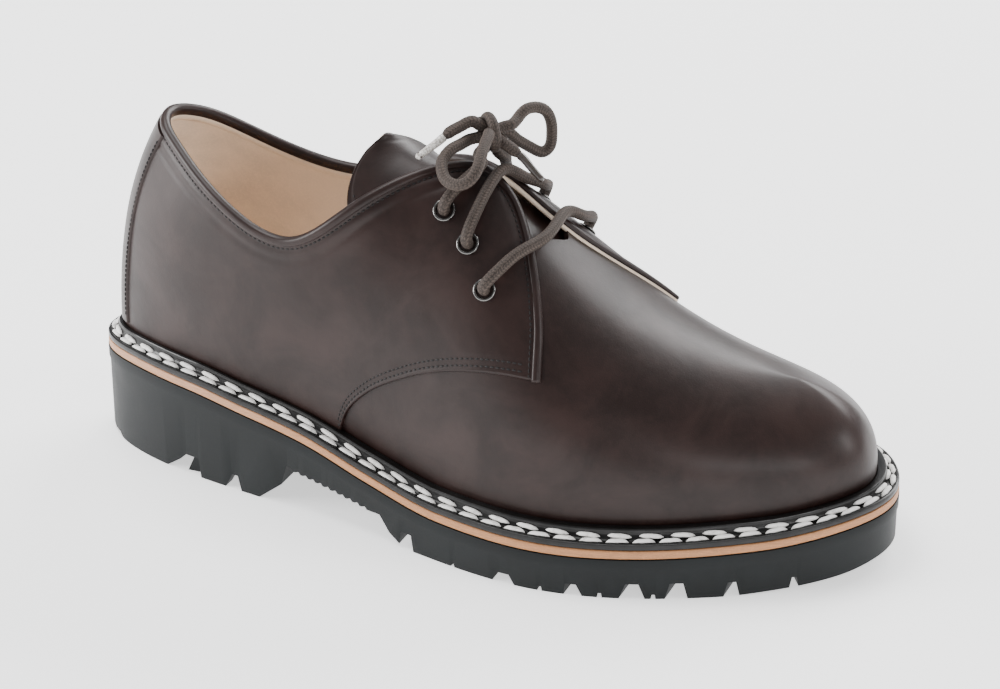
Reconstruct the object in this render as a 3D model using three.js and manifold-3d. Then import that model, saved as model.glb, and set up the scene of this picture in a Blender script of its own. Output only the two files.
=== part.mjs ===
// A low derby mountain shoe for the right foot: lugged rubber sole, stitched welt, leather upper,
// tongue, eyelets and a tied lace. Millimetres, +Z up. The toe points along +X, the outer (lateral)
// side of the foot is -Y, and the heel and forefoot lugs stand on z = 0. The origin lies on the floor
// under the middle of the sole's length and width.
import * as THREE from "three";
import { mergeVertices } from "three/addons/utils/BufferGeometryUtils.js";
import Module from "manifold-3d";

// Driving sizes of the sole
const SOLE_LENGTH = 292;
const BALL_WIDTH = 110;
const HEEL_HEIGHT = 34;
const FOREFOOT_HEIGHT = 14;
const TOE_SPRING = 8;
const TOE_LIFT = 7;
const SHANK_HEIGHT = 9.4;
const GROOVE_WIDTH = 8;
const GROOVE_DEPTH = 6;
const MIDSOLE = 3;
const LIP_HEIGHT = 4;
const LIP_STEP = 0.4;

// Driving sizes of the upper
const INSTEP_HEIGHT = 125;
const LEDGE = 8.6;
const BULGE = 3;
const VAMP_WALL = 1.8;
const QUARTER_LINING = 0.9;
const QUARTER_STEP = 1.4;
const BINDING_WIDTH = 3.2;
const BINDING_STEP = 0.7;
const STRIP_STEP = 0.8;

// Driving sizes of the small pieces
const WELT = 2.2;
const WELT_LIP = 3.4;
const WELT_LIP_THICK = 1.8;
const INSOLE = 3;
const TONGUE = 2.2;
const TONGUE_REACH = 33;
const TONGUE_SKEW = 0.2;
const TONGUE_RISE = 5.5;
const TONGUE_DOME = 6.5;
const EYELET_HOLE = 5;
const EYELET_BARREL = 0.5;
const EYELET_FLANGE = 0.8;
const EYELET_SIDES = 12;
const EYELET_THICK = 0.8;
const LACE = 4;
const BOW = 25;
const AGLET = 11;
const AGLET_DIAMETER = 3;
const CLEAR = 0.3;

// Round the sole run 24 stations: 0 at the middle of the heel, 12 at the tip of the toe, the lateral
// side first. The distance along the sole follows a cosine, so both ends come out round.
const HALF = 12;
const ROUND = 2 * HALF;

// Half widths of the sole at each station, as shares of BALL_WIDTH
const OUTLINE = [
  { lateral: -0.027, medial: 0.027 },
  { lateral: 0.083, medial: 0.158 },
  { lateral: 0.178, medial: 0.285 },
  { lateral: 0.257, medial: 0.345 },
  { lateral: 0.315, medial: 0.33 },
  { lateral: 0.376, medial: 0.306 },
  { lateral: 0.466, medial: 0.317 },
  { lateral: 0.524, medial: 0.402 },
  { lateral: 0.468, medial: 0.473 },
  { lateral: 0.34, medial: 0.463 },
  { lateral: 0.208, medial: 0.39 },
  { lateral: 0.078, medial: 0.222 },
  { lateral: -0.06, medial: 0.06 },
];

// The rubber's top: how much of the heel's extra height and of the toe spring it has at each share of
// the length
const PROFILE = [
  { along: 0.0, heel: 0.94, spring: 0 },
  { along: 0.08, heel: 1.0, spring: 0 },
  { along: 0.16, heel: 0.96, spring: 0 },
  { along: 0.24, heel: 0.81, spring: 0 },
  { along: 0.32, heel: 0.63, spring: 0 },
  { along: 0.42, heel: 0.27, spring: 0 },
  { along: 0.52, heel: 0.03, spring: 0 },
  { along: 0.64, heel: 0, spring: 0 },
  { along: 0.76, heel: 0, spring: 0.06 },
  { along: 0.88, heel: 0, spring: 0.26 },
  { along: 1.0, heel: 0, spring: 1.0 },
];

// The tread's own surface: a worn bevel at the heel, flat ground, then the lift of the toe
const GROUND = [
  { along: 0.0, lift: 0.4 },
  { along: 0.05, lift: 0 },
  { along: 0.84, lift: 0 },
  { along: 0.9, lift: 0.18 },
  { along: 0.96, lift: 0.52 },
  { along: 1.0, lift: 1.0 },
];

// The upper's top edge at each station: along as a share of SOLE_LENGTH, across as shares of
// BALL_WIDTH, height as a share of INSTEP_HEIGHT. Up to station 6 it is the collar, after it the ridge
// of the instep and vamp. The wall leans in by turn degrees by then, and round is how boxy it is. Where
// no turn is given, the wall meets the ridge at the slope that the ridge has there.
const CROWN = [
  { along: 0.098, lateral: -0.027, medial: 0.027, height: 0.985, turn: 52, round: 2.0, bulge: 0.2 },
  { along: 0.109, lateral: 0.06, medial: 0.09, height: 0.976, turn: 52, round: 2.0, bulge: 0.27 },
  { along: 0.141, lateral: 0.13, medial: 0.168, height: 0.934, turn: 52, round: 2.1, bulge: 0.5 },
  { along: 0.2123, lateral: 0.236, medial: 0.238, height: 0.848, turn: 52, round: 2.2, bulge: 0.83 },
  { along: 0.31, lateral: 0.291, medial: 0.285, height: 0.789, turn: 52, round: 2.2, bulge: 1 },
  { along: 0.4007, lateral: 0.25, medial: 0.26, height: 0.935, turn: 62, round: 2.2, bulge: 0.83 },
  { along: 0.5034, lateral: 0.041, medial: 0.041, height: 1.0, turn: 80, round: 2.2, bulge: 0.83 },
  { along: 0.5822, lateral: 0, medial: 0, height: 0.856, round: 2.35, bulge: 0.83 },
  { along: 0.6678, lateral: 0, medial: 0, height: 0.692, round: 2.4, bulge: 1 },
  { along: 0.7432, lateral: -0.009, medial: 0.009, height: 0.585, round: 2.45, bulge: 1 },
  { along: 0.8082, lateral: -0.027, medial: 0.027, height: 0.527, round: 2.5, bulge: 1 },
  { along: 0.8493, lateral: -0.045, medial: 0.045, height: 0.504, round: 2.5, bulge: 0.83 },
  { along: 0.8699, lateral: -0.055, medial: 0.055, height: 0.495, round: 2.5, bulge: 0.5 },
];

// How much lower the medial side's top is at each station, as a share of INSTEP_HEIGHT
const MEDIAL_DROP = [0, 0, 0, 0, -0.013, 0.059, 0.042, 0, 0, 0, 0, 0, 0];

// How far inside the sole's edge the upper starts, as a share of LEDGE
const LEDGE_SHARE = [0.9, 0.88, 0.9, 0.98, 1, 1, 1, 1, 1, 1, 1, 1, 1];

// The facing's edge from its lower corner up to the collar, by station and share of the wall's height
const FACING = {
  lateral: [
    { station: 7.07, share: 0.4 },
    { station: 7.06, share: 0.53 },
    { station: 6.98, share: 0.67 },
    { station: 6.8, share: 0.81 },
    { station: 6.55, share: 0.9 },
    { station: 6.12, share: 0.965 },
  ],
  medial: [
    { station: 7.82, share: 0.6 },
    { station: 7.68, share: 0.74 },
    { station: 7.48, share: 0.85 },
    { station: 7.2, share: 0.93 },
    { station: 6.75, share: 0.972 },
    { station: 6.12, share: 0.982 },
  ],
};

// The quarter's lower front edge from the welt up to the facing's lower corner
const QUARTER_FRONT = {
  lateral: [
    { station: 4.92, share: 0.0 },
    { station: 5.03, share: 0.1 },
    { station: 5.28, share: 0.19 },
    { station: 5.75, share: 0.265 },
    { station: 6.4, share: 0.325 },
    { station: 7.07, share: 0.4 },
  ],
  medial: [
    { station: 5.3, share: 0.0 },
    { station: 5.45, share: 0.11 },
    { station: 5.75, share: 0.21 },
    { station: 6.3, share: 0.32 },
    { station: 7.05, share: 0.45 },
    { station: 7.82, share: 0.6 },
  ],
};

// The vamp's hidden rear edge under the quarters, at the welt and at the ridge
const VAMP_REAR = { welt: 4.5, ridge: 7.3 };

// Middles of the eyelets, bottom pair first
const EYELETS = {
  lateral: [
    { station: 6.43, share: 0.55 },
    { station: 6.17, share: 0.655 },
    { station: 5.85, share: 0.755 },
  ],
  medial: [
    { station: 6.9, share: 0.68 },
    { station: 6.46, share: 0.74 },
    { station: 5.98, share: 0.79 },
  ],
};

// Grooves across the tread: middle as a share of the length, width at the floor and at the root and the
// root's shift toward the toe as shares of GROOVE_WIDTH, depth as a share of GROOVE_DEPTH
const GROOVES = [
  { along: 0.053, floor: 0.6, root: 0.4, shift: 0, depth: 0.28 },
  { along: 0.151, floor: 1.75, root: 0.7, shift: 0.42, depth: 1.2 },
  { along: 0.224, floor: 0.85, root: 0.3, shift: 0.1, depth: 0.93 },
  { along: 0.475, floor: 0.75, root: 0.5, shift: 0, depth: 1 },
  { along: 0.6075, floor: 1, root: 0.48, shift: 0, depth: 0.57 },
  { along: 0.69, floor: 0.75, root: 0.45, shift: -0.1, depth: 0.67 },
  { along: 0.754, floor: 1, root: 0.5, shift: 0, depth: 0.9 },
  { along: 0.8, floor: 0.85, root: 0.5, shift: 0, depth: 0.95 },
  { along: 0.8555, floor: 0.58, root: 0.3, shift: 0, depth: 0.87 },
  { along: 0.918, floor: 0.38, root: 0.2, shift: 0, depth: 0.6 },
];
const GROOVE_INNER = 0.24;
const GROOVE_REACH = 0.3;
const GROOVE_SLANT = 0.18;

// Small nicks in the lugs' outer edges
const NICKS = [0.54, 0.652, 0.72, 0.777];
const NICK = 1.6;
const NICK_REACH = 7;

// The heel breast, from its foot over a knee to its top, with heights as shares of HEEL_HEIGHT
const BREAST = [
  { along: 0.262, height: 0 },
  { along: 0.295, height: 0.23 },
  { along: 0.303, height: 0.456 },
];
// The ribbed shank behind the forefoot, and the channels along the forefoot's middle
const FOREFOOT_START = 0.437;
const RIB_PITCH = 3.1;
const RIB = 1;
const CHANNEL = { width: 0.43, depth: 0.67, offset: 0.13 };

// The lace's runs over the facings. lift is the lace's middle above the quarter, as a share of LACE.
const LACE_RUNS = {
  lace_bar_1: [
    { side: "lateral", station: 6.43, share: 0.55, lift: 0.42 },
    { side: "lateral", station: 6.44, share: 0.554, lift: 0.9 },
    { side: "lateral", station: 6.49, share: 0.585, lift: 1.22 },
    { side: "lateral", station: 6.57, share: 0.635, lift: 1.12 },
    { side: "lateral", station: 6.69, share: 0.71, lift: 0.9 },
    { side: "lateral", station: 6.86, share: 0.8, lift: 0.93 },
    { side: "lateral", station: 6.98, share: 0.89, lift: 1.0 },
    { side: "medial", station: 7.04, share: 0.96, lift: 1.0 },
    { side: "medial", station: 7.04, share: 0.88, lift: 0.95 },
    { side: "medial", station: 7.0, share: 0.79, lift: 0.95 },
    { side: "medial", station: 6.94, share: 0.72, lift: 1.22 },
    { side: "medial", station: 6.905, share: 0.686, lift: 0.9 },
    { side: "medial", station: 6.9, share: 0.68, lift: 0.42 },
  ],
  lace_bar_2: [
    { side: "lateral", station: 6.17, share: 0.655, lift: 0.42 },
    { side: "lateral", station: 6.17, share: 0.66, lift: 0.9 },
    { side: "lateral", station: 6.175, share: 0.69, lift: 1.22 },
    { side: "lateral", station: 6.185, share: 0.74, lift: 1.08 },
    { side: "lateral", station: 6.2, share: 0.81, lift: 0.93 },
    { side: "lateral", station: 6.24, share: 0.9, lift: 0.98 },
    { side: "lateral", station: 6.34, share: 0.965, lift: 0.95 },
    { side: "medial", station: 6.52, share: 0.96, lift: 0.95 },
    { side: "medial", station: 6.56, share: 0.88, lift: 0.93 },
    { side: "medial", station: 6.53, share: 0.82, lift: 0.96 },
    { side: "medial", station: 6.49, share: 0.775, lift: 1.22 },
    { side: "medial", station: 6.465, share: 0.746, lift: 0.9 },
    { side: "medial", station: 6.46, share: 0.74, lift: 0.42 },
  ],
  lace_tail_lateral: [
    { side: "lateral", station: 5.85, share: 0.755, lift: 0.42 },
    { side: "lateral", station: 5.86, share: 0.76, lift: 0.9 },
    { side: "lateral", station: 5.88, share: 0.785, lift: 1.22 },
    { side: "lateral", station: 5.93, share: 0.83, lift: 1.05 },
    { side: "lateral", station: 6.0, share: 0.88, lift: 0.92 },
    { side: "lateral", station: 6.05, share: 0.94, lift: 0.98 },
  ],
  lace_tail_medial: [
    { side: "medial", station: 5.98, share: 0.79, lift: 0.42 },
    { side: "medial", station: 5.985, share: 0.796, lift: 0.9 },
    { side: "medial", station: 6.0, share: 0.82, lift: 1.22 },
    { side: "medial", station: 6.02, share: 0.86, lift: 1.1 },
    { side: "medial", station: 6.05, share: 0.9, lift: 1.05 },
    { side: "medial", station: 6.1, share: 0.95, lift: 1.05 },
  ],
};

// The knot above the instep: its place, and its half sizes as shares of LACE
const KNOT = { along: 0.5115, rise: 2.3, x: 1.15, y: 1.35, z: 1.55 };

// Where each strand leaves the knot, as a direction from its middle
const LEAVES = {
  lace_tail_lateral: { x: -0.45, y: -0.49, z: -0.75 },
  lace_tail_medial: { x: 0.27, y: 0.39, z: -0.88 },
  lace_end_left: { x: -0.79, y: -0.43, z: 0.44 },
  lace_end_right: { x: 0.94, y: -0.15, z: -0.3 },
  loop_right_out: { x: 0.77, y: 0.62, z: 0.15 },
  loop_right_back: { x: 0.05, y: 0.97, z: -0.23 },
  loop_left_out: { x: -0.75, y: -0.65, z: -0.12 },
  loop_left_back: { x: 0.37, y: -0.9, z: 0.21 },
};

// Points of the bow's loops and ends from the knot's middle, as shares of BOW
const LOOP_RIGHT = [
  { x: 0.23, y: 0.36, z: 0.09 },
  { x: 0.27, y: 0.50, z: 0.16 },
  { x: 0.33, y: 0.64, z: 0.17 },
  { x: 0.41, y: 0.76, z: 0.13 },
  { x: 0.47, y: 0.86, z: 0.03 },
  { x: 0.50, y: 0.92, z: -0.13 },
  { x: 0.50, y: 0.94, z: -0.29 },
  { x: 0.48, y: 0.92, z: -0.46 },
  { x: 0.41, y: 0.86, z: -0.53 },
  { x: 0.34, y: 0.78, z: -0.49 },
  { x: 0.24, y: 0.66, z: -0.38 },
  { x: 0.15, y: 0.52, z: -0.25 },
  { x: 0.09, y: 0.40, z: -0.13 },
];
const LOOP_LEFT = [
  { x: -0.25, y: -0.44, z: -0.05 },
  { x: -0.30, y: -0.64, z: -0.06 },
  { x: -0.33, y: -0.82, z: -0.14 },
  { x: -0.28, y: -0.96, z: -0.22 },
  { x: -0.18, y: -1.06, z: -0.30 },
  { x: -0.01, y: -1.12, z: -0.32 },
  { x: 0.12, y: -1.10, z: -0.28 },
  { x: 0.20, y: -1.00, z: -0.18 },
  { x: 0.19, y: -0.80, z: -0.06 },
  { x: 0.14, y: -0.54, z: 0.03 },
];
const END_LEFT = [
  { x: -0.32, y: -0.26, z: 0.13 },
  { x: -0.39, y: -0.38, z: 0.10 },
  { x: -0.45, y: -0.50, z: 0.05 },
  { x: -0.57, y: -0.64, z: -0.06 },
  { x: -0.71, y: -0.78, z: -0.17 },
];
const END_RIGHT = [
  { x: 0.38, y: -0.08, z: -0.18 },
  { x: 0.49, y: -0.10, z: -0.24 },
  { x: 0.64, y: -0.12, z: -0.37 },
  { x: 0.79, y: -0.14, z: -0.50 },
];

const COLORS = {
  leather: 0x3c302e,
  lining: 0xc9a386,
  rubber: 0x24292b,
  midsole: 0xc58552,
  welt: 0x1d1a19,
  metal: 0x6f6d70,
  lace: 0x574b47,
  plastic: 0x8c8580,
};

const wasm = await Module();
wasm.setup();

// Smooth value round the shoe from one row per station
function aroundShoe(rows, station) {
  const whole = Math.floor(station);
  const t = station - whole;
  const at = (i) => rows[(((whole + i) % ROUND) + ROUND) % ROUND];
  const [p0, p1, p2, p3] = [at(-1), at(0), at(1), at(2)];
  const cubic = t * (3 * (p1 - p2) + p3 - p0);
  return p1 + 0.5 * t * (p2 - p0 + t * (2 * p0 - 5 * p1 + 4 * p2 - p3 + cubic));
}

// The rows of the lateral side, then those of the medial side back to the heel
function bothSides(lateral, medial) {
  return [...lateral, ...medial.slice(1, HALF).reverse()];
}

// Value between the rows of a table by a monotone cubic, so that flat stretches stay flat
function between(rows, key, column, at) {
  const n = rows.length;
  const x = THREE.MathUtils.clamp(at, rows[0][key], rows[n - 1][key]);
  let i = 0;
  while (i < n - 2 && x > rows[i + 1][key]) i += 1;
  const slope = (j) => (rows[j + 1][column] - rows[j][column]) / (rows[j + 1][key] - rows[j][key]);
  const tangent = (j) => {
    if (j === 0) return slope(0);
    if (j === n - 1) return slope(n - 2);
    const [a, b] = [slope(j - 1), slope(j)];
    return a * b <= 0 ? 0 : (2 * a * b) / (a + b);
  };
  const width = rows[i + 1][key] - rows[i][key];
  const t = (x - rows[i][key]) / width;
  const rise = rows[i + 1][column] - rows[i][column];
  const [m0, m1] = [tangent(i) * width, tangent(i + 1) * width];
  return rows[i][column] + t * (m0 + t * (3 * rise - 2 * m0 - m1 + t * (m0 + m1 - 2 * rise)));
}

const EDGE = bothSides(
  OUTLINE.map((row) => -row.lateral * BALL_WIDTH),
  OUTLINE.map((row) => row.medial * BALL_WIDTH),
);
const MIDDLE = (Math.max(...EDGE) + Math.min(...EDGE)) / 2;

// A point of the sole's edge, moved in by inset
function edgePoint(station, inset = 0) {
  const at = (s) =>
    new THREE.Vector2((SOLE_LENGTH * (1 - Math.cos((Math.PI * s) / HALF))) / 2, aroundShoe(EDGE, s));
  const step = at(station + 0.02).sub(at(station - 0.02)).normalize();
  return at(station).add(new THREE.Vector2(-step.y, step.x).multiplyScalar(inset));
}

function outward(station) {
  const point = edgePoint(station, -1).sub(edgePoint(station));
  return new THREE.Vector3(point.x, point.y, 0);
}

function rubberTop(x) {
  const heel = between(PROFILE, "along", "heel", x / SOLE_LENGTH);
  const spring = between(PROFILE, "along", "spring", x / SOLE_LENGTH);
  return FOREFOOT_HEIGHT + (HEEL_HEIGHT - FOREFOOT_HEIGHT) * heel + TOE_SPRING * spring;
}

function ground(x) {
  return TOE_LIFT * between(GROUND, "along", "lift", x / SOLE_LENGTH);
}

const midsoleBottom = (x) => rubberTop(x) + CLEAR;
const midsoleTop = (x) => midsoleBottom(x) + MIDSOLE;
const weltBottom = (x) => midsoleTop(x) + CLEAR;

const onBothSides = (name) => {
  const column = CROWN.map((row) => row[name]);
  return bothSides(column, column);
};
const TOP_ALONG = onBothSides("along").map((share) => share * SOLE_LENGTH);
const TOP_ACROSS = bothSides(
  CROWN.map((row) => -row.lateral * BALL_WIDTH),
  CROWN.map((row) => row.medial * BALL_WIDTH),
);
const TOP_HEIGHT = bothSides(
  CROWN.map((row) => row.height * INSTEP_HEIGHT),
  CROWN.map((row, station) => (row.height - MEDIAL_DROP[station]) * INSTEP_HEIGHT),
);
const BOXY = onBothSides("round");
const BULGES = onBothSides("bulge").map((share) => share * BULGE);
const LEDGES = bothSides(LEDGE_SHARE, LEDGE_SHARE).map((share) => share * LEDGE);

// The wall's foot on the midsole
function foot(station) {
  const point = edgePoint(station, aroundShoe(LEDGES, station));
  return new THREE.Vector3(point.x, point.y, weltBottom(point.x));
}

// How far the wall leans in by its top, in radians. On the ridge it keeps the ridge's own slope.
function turnAt(station) {
  const given = CROWN[Math.min(station, ROUND - station)].turn;
  if (given) return THREE.MathUtils.degToRad(given);
  const next = Math.min(Math.abs(HALF - station), 1);
  const ahead = station < HALF ? station + next : station - next;
  const behind = station < HALF ? station - 1 : station + 1;
  const last = station === HALF ? station : ahead;
  const height = (s) => TOP_HEIGHT[Math.min(s, ROUND - s)];
  const fall = (height(last) - height(behind)) / (TOP_ALONG[last] - TOP_ALONG[behind]);
  const base = foot(station);
  const reach = Math.hypot(TOP_ALONG[station] - base.x, TOP_ACROSS[station] - base.y);
  const wanted = (fall * (TOP_ALONG[station] - base.x)) / reach;
  const steep = (TOP_HEIGHT[station] - base.z) / reach;
  const power = 2 / BOXY[station];
  let [low, high] = [Math.PI / 4, Math.PI / 2];
  for (let i = 0; i < 30; i += 1) {
    const turn = (low + high) / 2;
    const [sine, cosine] = [Math.sin(turn), Math.cos(turn)];
    const slope = (steep * cosine ** (2 - power) * (1 - cosine ** power)) / sine ** 2;
    if (slope > wanted) low = turn;
    else high = turn;
  }
  return low;
}

const TURN = TOP_ALONG.map((_, station) => turnAt(station));

// The upper's base surface: share 0 is the foot, share 1 the collar's edge or the ridge
function lastSurface(station, share) {
  const base = foot(station);
  const turn = Math.min(aroundShoe(TURN, station), Math.PI / 2);
  const power = 2 / aroundShoe(BOXY, station);
  const lift = Math.sin(share * turn) ** power / Math.sin(turn) ** power;
  const lean = (1 - Math.cos(share * turn) ** power) / (1 - Math.max(Math.cos(turn), 0) ** power);
  const full = Math.sin(turn) ** power;
  const swell = Math.sin(Math.PI * full * lift) - lean * Math.sin(Math.PI * full);
  const out = outward(station).multiplyScalar(swell * aroundShoe(BULGES, station));
  return new THREE.Vector3(
    THREE.MathUtils.lerp(base.x, aroundShoe(TOP_ALONG, station), lean),
    THREE.MathUtils.lerp(base.y, aroundShoe(TOP_ACROSS, station), lean),
    THREE.MathUtils.lerp(base.z, aroundShoe(TOP_HEIGHT, station), lift),
  ).add(out);
}

function wallNormal(station, share) {
  const middle = THREE.MathUtils.clamp(share, 0.01, 0.99);
  const along = lastSurface(station + 0.03, middle).sub(lastSurface(station - 0.03, middle));
  const up = lastSurface(station, middle + 0.01).sub(lastSurface(station, middle - 0.01));
  return along.cross(up).normalize();
}

// A point of the wall, out millimetres proud of the base surface
function wallPoint(station, share, out = 0) {
  return lastSurface(station, share).addScaledVector(wallNormal(station, share), out);
}

// On the ridge both sides are one line
function vampPoint(station, share, out) {
  const point = wallPoint(station, share, out);
  if (share < 1) return point;
  const mirrored = wallPoint(ROUND - station, share, out);
  return point.add(mirrored).multiplyScalar(0.5);
}

function toManifold(geometry) {
  const plain = geometry.clone();
  for (const name of ["normal", "uv"]) {
    if (plain.attributes[name]) plain.deleteAttribute(name);
  }
  const merged = mergeVertices(plain, 1e-4);
  const index = Array.from(merged.index.array);
  const triangles = [];
  for (let i = 0; i < index.length; i += 3) {
    const [a, b, c] = index.slice(i, i + 3);
    if (a !== b && b !== c && c !== a) triangles.push(a, b, c);
  }
  return new wasm.Manifold(
    new wasm.Mesh({
      numProp: 3,
      vertProperties: new Float32Array(merged.attributes.position.array),
      triVerts: new Uint32Array(triangles),
    }),
  );
}

function fromManifold(solid) {
  const mesh = solid.getMesh();
  const geometry = new THREE.BufferGeometry();
  geometry.setAttribute("position", new THREE.BufferAttribute(mesh.vertProperties, 3));
  geometry.setIndex(new THREE.BufferAttribute(mesh.triVerts, 1));
  geometry.computeVertexNormals();
  return geometry;
}

function join(geometries) {
  return geometries.map(toManifold).reduce((sum, solid) => sum.add(solid));
}

// A closed mesh from quads given as lists of four points
function fromQuads(quads) {
  const positions = [];
  for (const [a, b, c, d] of quads) {
    for (const point of [a, b, c, a, c, d]) positions.push(point.x, point.y, point.z);
  }
  const geometry = new THREE.BufferGeometry();
  geometry.setAttribute("position", new THREE.Float32BufferAttribute(positions, 3));
  return geometry;
}

// A sheet with two faces: outer(i, j) and inner(i, j) are grids of points, seen from outside with i to
// the right and j up. Its four rims are closed, but for the last one where the sheet meets itself.
function sheet(rows, columnsUp, outer, inner, meetsItself = false) {
  const grid = (point) =>
    Array.from({ length: rows + 1 }, (_, i) =>
      Array.from({ length: columnsUp + 1 }, (__, j) => point(i, j)),
    );
  const front = grid(outer);
  const back = grid(inner);
  const quads = [];
  for (let i = 0; i < rows; i += 1) {
    for (let j = 0; j < columnsUp; j += 1) {
      quads.push([front[i][j], front[i + 1][j], front[i + 1][j + 1], front[i][j + 1]]);
      quads.push([back[i][j], back[i][j + 1], back[i + 1][j + 1], back[i + 1][j]]);
    }
    quads.push([front[i][0], back[i][0], back[i + 1][0], front[i + 1][0]]);
    const top = columnsUp;
    quads.push([front[i][top], front[i + 1][top], back[i + 1][top], back[i][top]]);
  }
  for (let j = 0; j < columnsUp; j += 1) {
    quads.push([front[0][j], front[0][j + 1], back[0][j + 1], back[0][j]]);
    if (meetsItself) continue;
    quads.push([front[rows][j], back[rows][j], back[rows][j + 1], front[rows][j + 1]]);
  }
  return fromQuads(quads);
}

// A closed ring whose section at each station is a closed loop of points, clockwise seen along the run
function ringSolid(steps, loopAt) {
  const loops = Array.from({ length: steps }, (_, i) => loopAt((ROUND * i) / steps));
  const quads = [];
  loops.forEach((loop, i) => {
    const next = loops[(i + 1) % steps];
    loop.forEach((point, j) => {
      const k = (j + 1) % loop.length;
      quads.push([point, next[j], next[k], loop[k]]);
    });
  });
  return fromQuads(quads);
}

// A slab with the sole's outline, moved in by inset, between two heights that follow the length
function slab(steps, inset, bottom, top) {
  const row = (i, side, height) => {
    const station = (HALF * i) / steps;
    const insetAt = typeof inset === "function" ? inset(station) : inset;
    const point = edgePoint(side < 0 ? station : ROUND - station, insetAt);
    return new THREE.Vector3(point.x, point.y, height(point.x));
  };
  const quads = [];
  for (let i = 0; i < steps; i += 1) {
    const [a, b] = [row(i, -1, bottom), row(i + 1, -1, bottom)];
    const [c, d] = [row(i + 1, 1, bottom), row(i, 1, bottom)];
    const [e, f] = [row(i, -1, top), row(i + 1, -1, top)];
    const [g, h] = [row(i + 1, 1, top), row(i, 1, top)];
    quads.push([a, d, c, b], [e, f, g, h], [a, b, f, e], [c, d, h, g]);
  }
  return fromQuads(quads);
}

// A bar with a wedge section that cuts a groove from start to end in plan. It is wider at the floor, and
// its root can stand shifted.
function groove(start, end, floorWidth, rootWidth, depth, shift = 0) {
  const below = 2;
  const along = end.clone().sub(start).normalize();
  const side = new THREE.Vector2(-along.y, along.x);
  const level = ground(start.x);
  const corner = (at, half, z) => {
    const grown = THREE.MathUtils.lerp(half, Math.sign(half) * rootWidth * 0.5, z / depth);
    const point = at.clone().addScaledVector(side, grown);
    return new THREE.Vector3(point.x + (shift * z) / depth, point.y, level + z);
  };
  const half = floorWidth / 2;
  const section = (at) => [
    corner(at, -half, -below),
    corner(at, half, -below),
    corner(at, half, depth),
    corner(at, -half, depth),
  ];
  const [first, last] = [section(start), section(end)];
  const quads = [[...first].reverse(), last];
  first.forEach((point, i) => {
    const k = (i + 1) % first.length;
    quads.push([point, first[k], last[k], last[i]]);
  });
  return fromQuads(quads);
}

// Grooves run in from both edges and turn back toward the heel. Nicks only cut the edges.
function treadCuts() {
  const cuts = [];
  for (const { along, floor, root, shift, depth } of GROOVES) {
    for (const side of [-1, 1]) {
      const x = along * SOLE_LENGTH;
      const start = new THREE.Vector2(x, side * BALL_WIDTH);
      const bend = new THREE.Vector2(x, side * GROOVE_INNER * BALL_WIDTH);
      const slant = GROOVE_SLANT * BALL_WIDTH * 0.5;
      const inner = (GROOVE_INNER - GROOVE_REACH * 0.5) * BALL_WIDTH;
      const end = new THREE.Vector2(x - slant, side * inner);
      const sizes = [floor * GROOVE_WIDTH, root * GROOVE_WIDTH, depth * GROOVE_DEPTH, shift * GROOVE_WIDTH];
      cuts.push(groove(start, bend, ...sizes), groove(bend, end, ...sizes));
    }
  }
  for (const along of NICKS) {
    for (const side of [-1, 1]) {
      const station = (HALF / Math.PI) * Math.acos(1 - 2 * along);
      const turned = side < 0 ? station : ROUND - station;
      cuts.push(groove(edgePoint(turned, -3), edgePoint(turned, NICK_REACH), NICK, NICK * 0.6, NICK));
    }
  }
  for (const side of [-1, 1]) {
    const y = side * CHANNEL.offset * BALL_WIDTH;
    const from = new THREE.Vector2(FOREFOOT_START * SOLE_LENGTH, y);
    const to = new THREE.Vector2(0.9 * SOLE_LENGTH, y);
    const width = CHANNEL.width * GROOVE_WIDTH;
    cuts.push(groove(from, to, width, width * 0.6, CHANNEL.depth * GROOVE_DEPTH));
  }
  return cuts;
}

// The space under the shank, from the heel breast to the first forefoot lug, with its cross ribs
function archCut() {
  const start = FOREFOOT_START * SOLE_LENGTH;
  const outline = [new THREE.Vector2(BREAST[0].along * SOLE_LENGTH, -1)];
  for (const { along, height } of BREAST) {
    outline.push(new THREE.Vector2(along * SOLE_LENGTH, height * HEEL_HEIGHT));
  }
  const top = outline.at(-1);
  const ribs = Math.floor((start - top.x) / RIB_PITCH) - 1;
  for (let i = 0; i < ribs; i += 1) {
    const x = top.x + (i + 0.6) * RIB_PITCH;
    const root = THREE.MathUtils.lerp(top.y, SHANK_HEIGHT, (x - top.x) / (start - top.x));
    outline.push(new THREE.Vector2(x, root));
    outline.push(new THREE.Vector2(x + 0.3 * RIB_PITCH, root - RIB));
    outline.push(new THREE.Vector2(x + 0.6 * RIB_PITCH, root - RIB));
  }
  outline.push(new THREE.Vector2(start, SHANK_HEIGHT), new THREE.Vector2(start + 4, 4));
  outline.push(new THREE.Vector2(start + 10, 0), new THREE.Vector2(start + 10, -1));
  const shape = new THREE.Shape(outline);
  const geometry = new THREE.ExtrudeGeometry(shape, { depth: 2 * BALL_WIDTH, bevelEnabled: false });
  geometry.rotateX(Math.PI / 2);
  geometry.translate(0, BALL_WIDTH, 0);
  return geometry;
}

function outsoleGeometry() {
  const lower = slab(40, LIP_STEP, ground, (x) => rubberTop(x) - LIP_HEIGHT);
  const lip = slab(40, 0, (x) => rubberTop(x) - LIP_HEIGHT - 0.4, rubberTop);
  const cuts = join([...treadCuts(), archCut()]);
  return fromManifold(toManifold(lower).subtract(cuts).add(toManifold(lip)));
}

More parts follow.
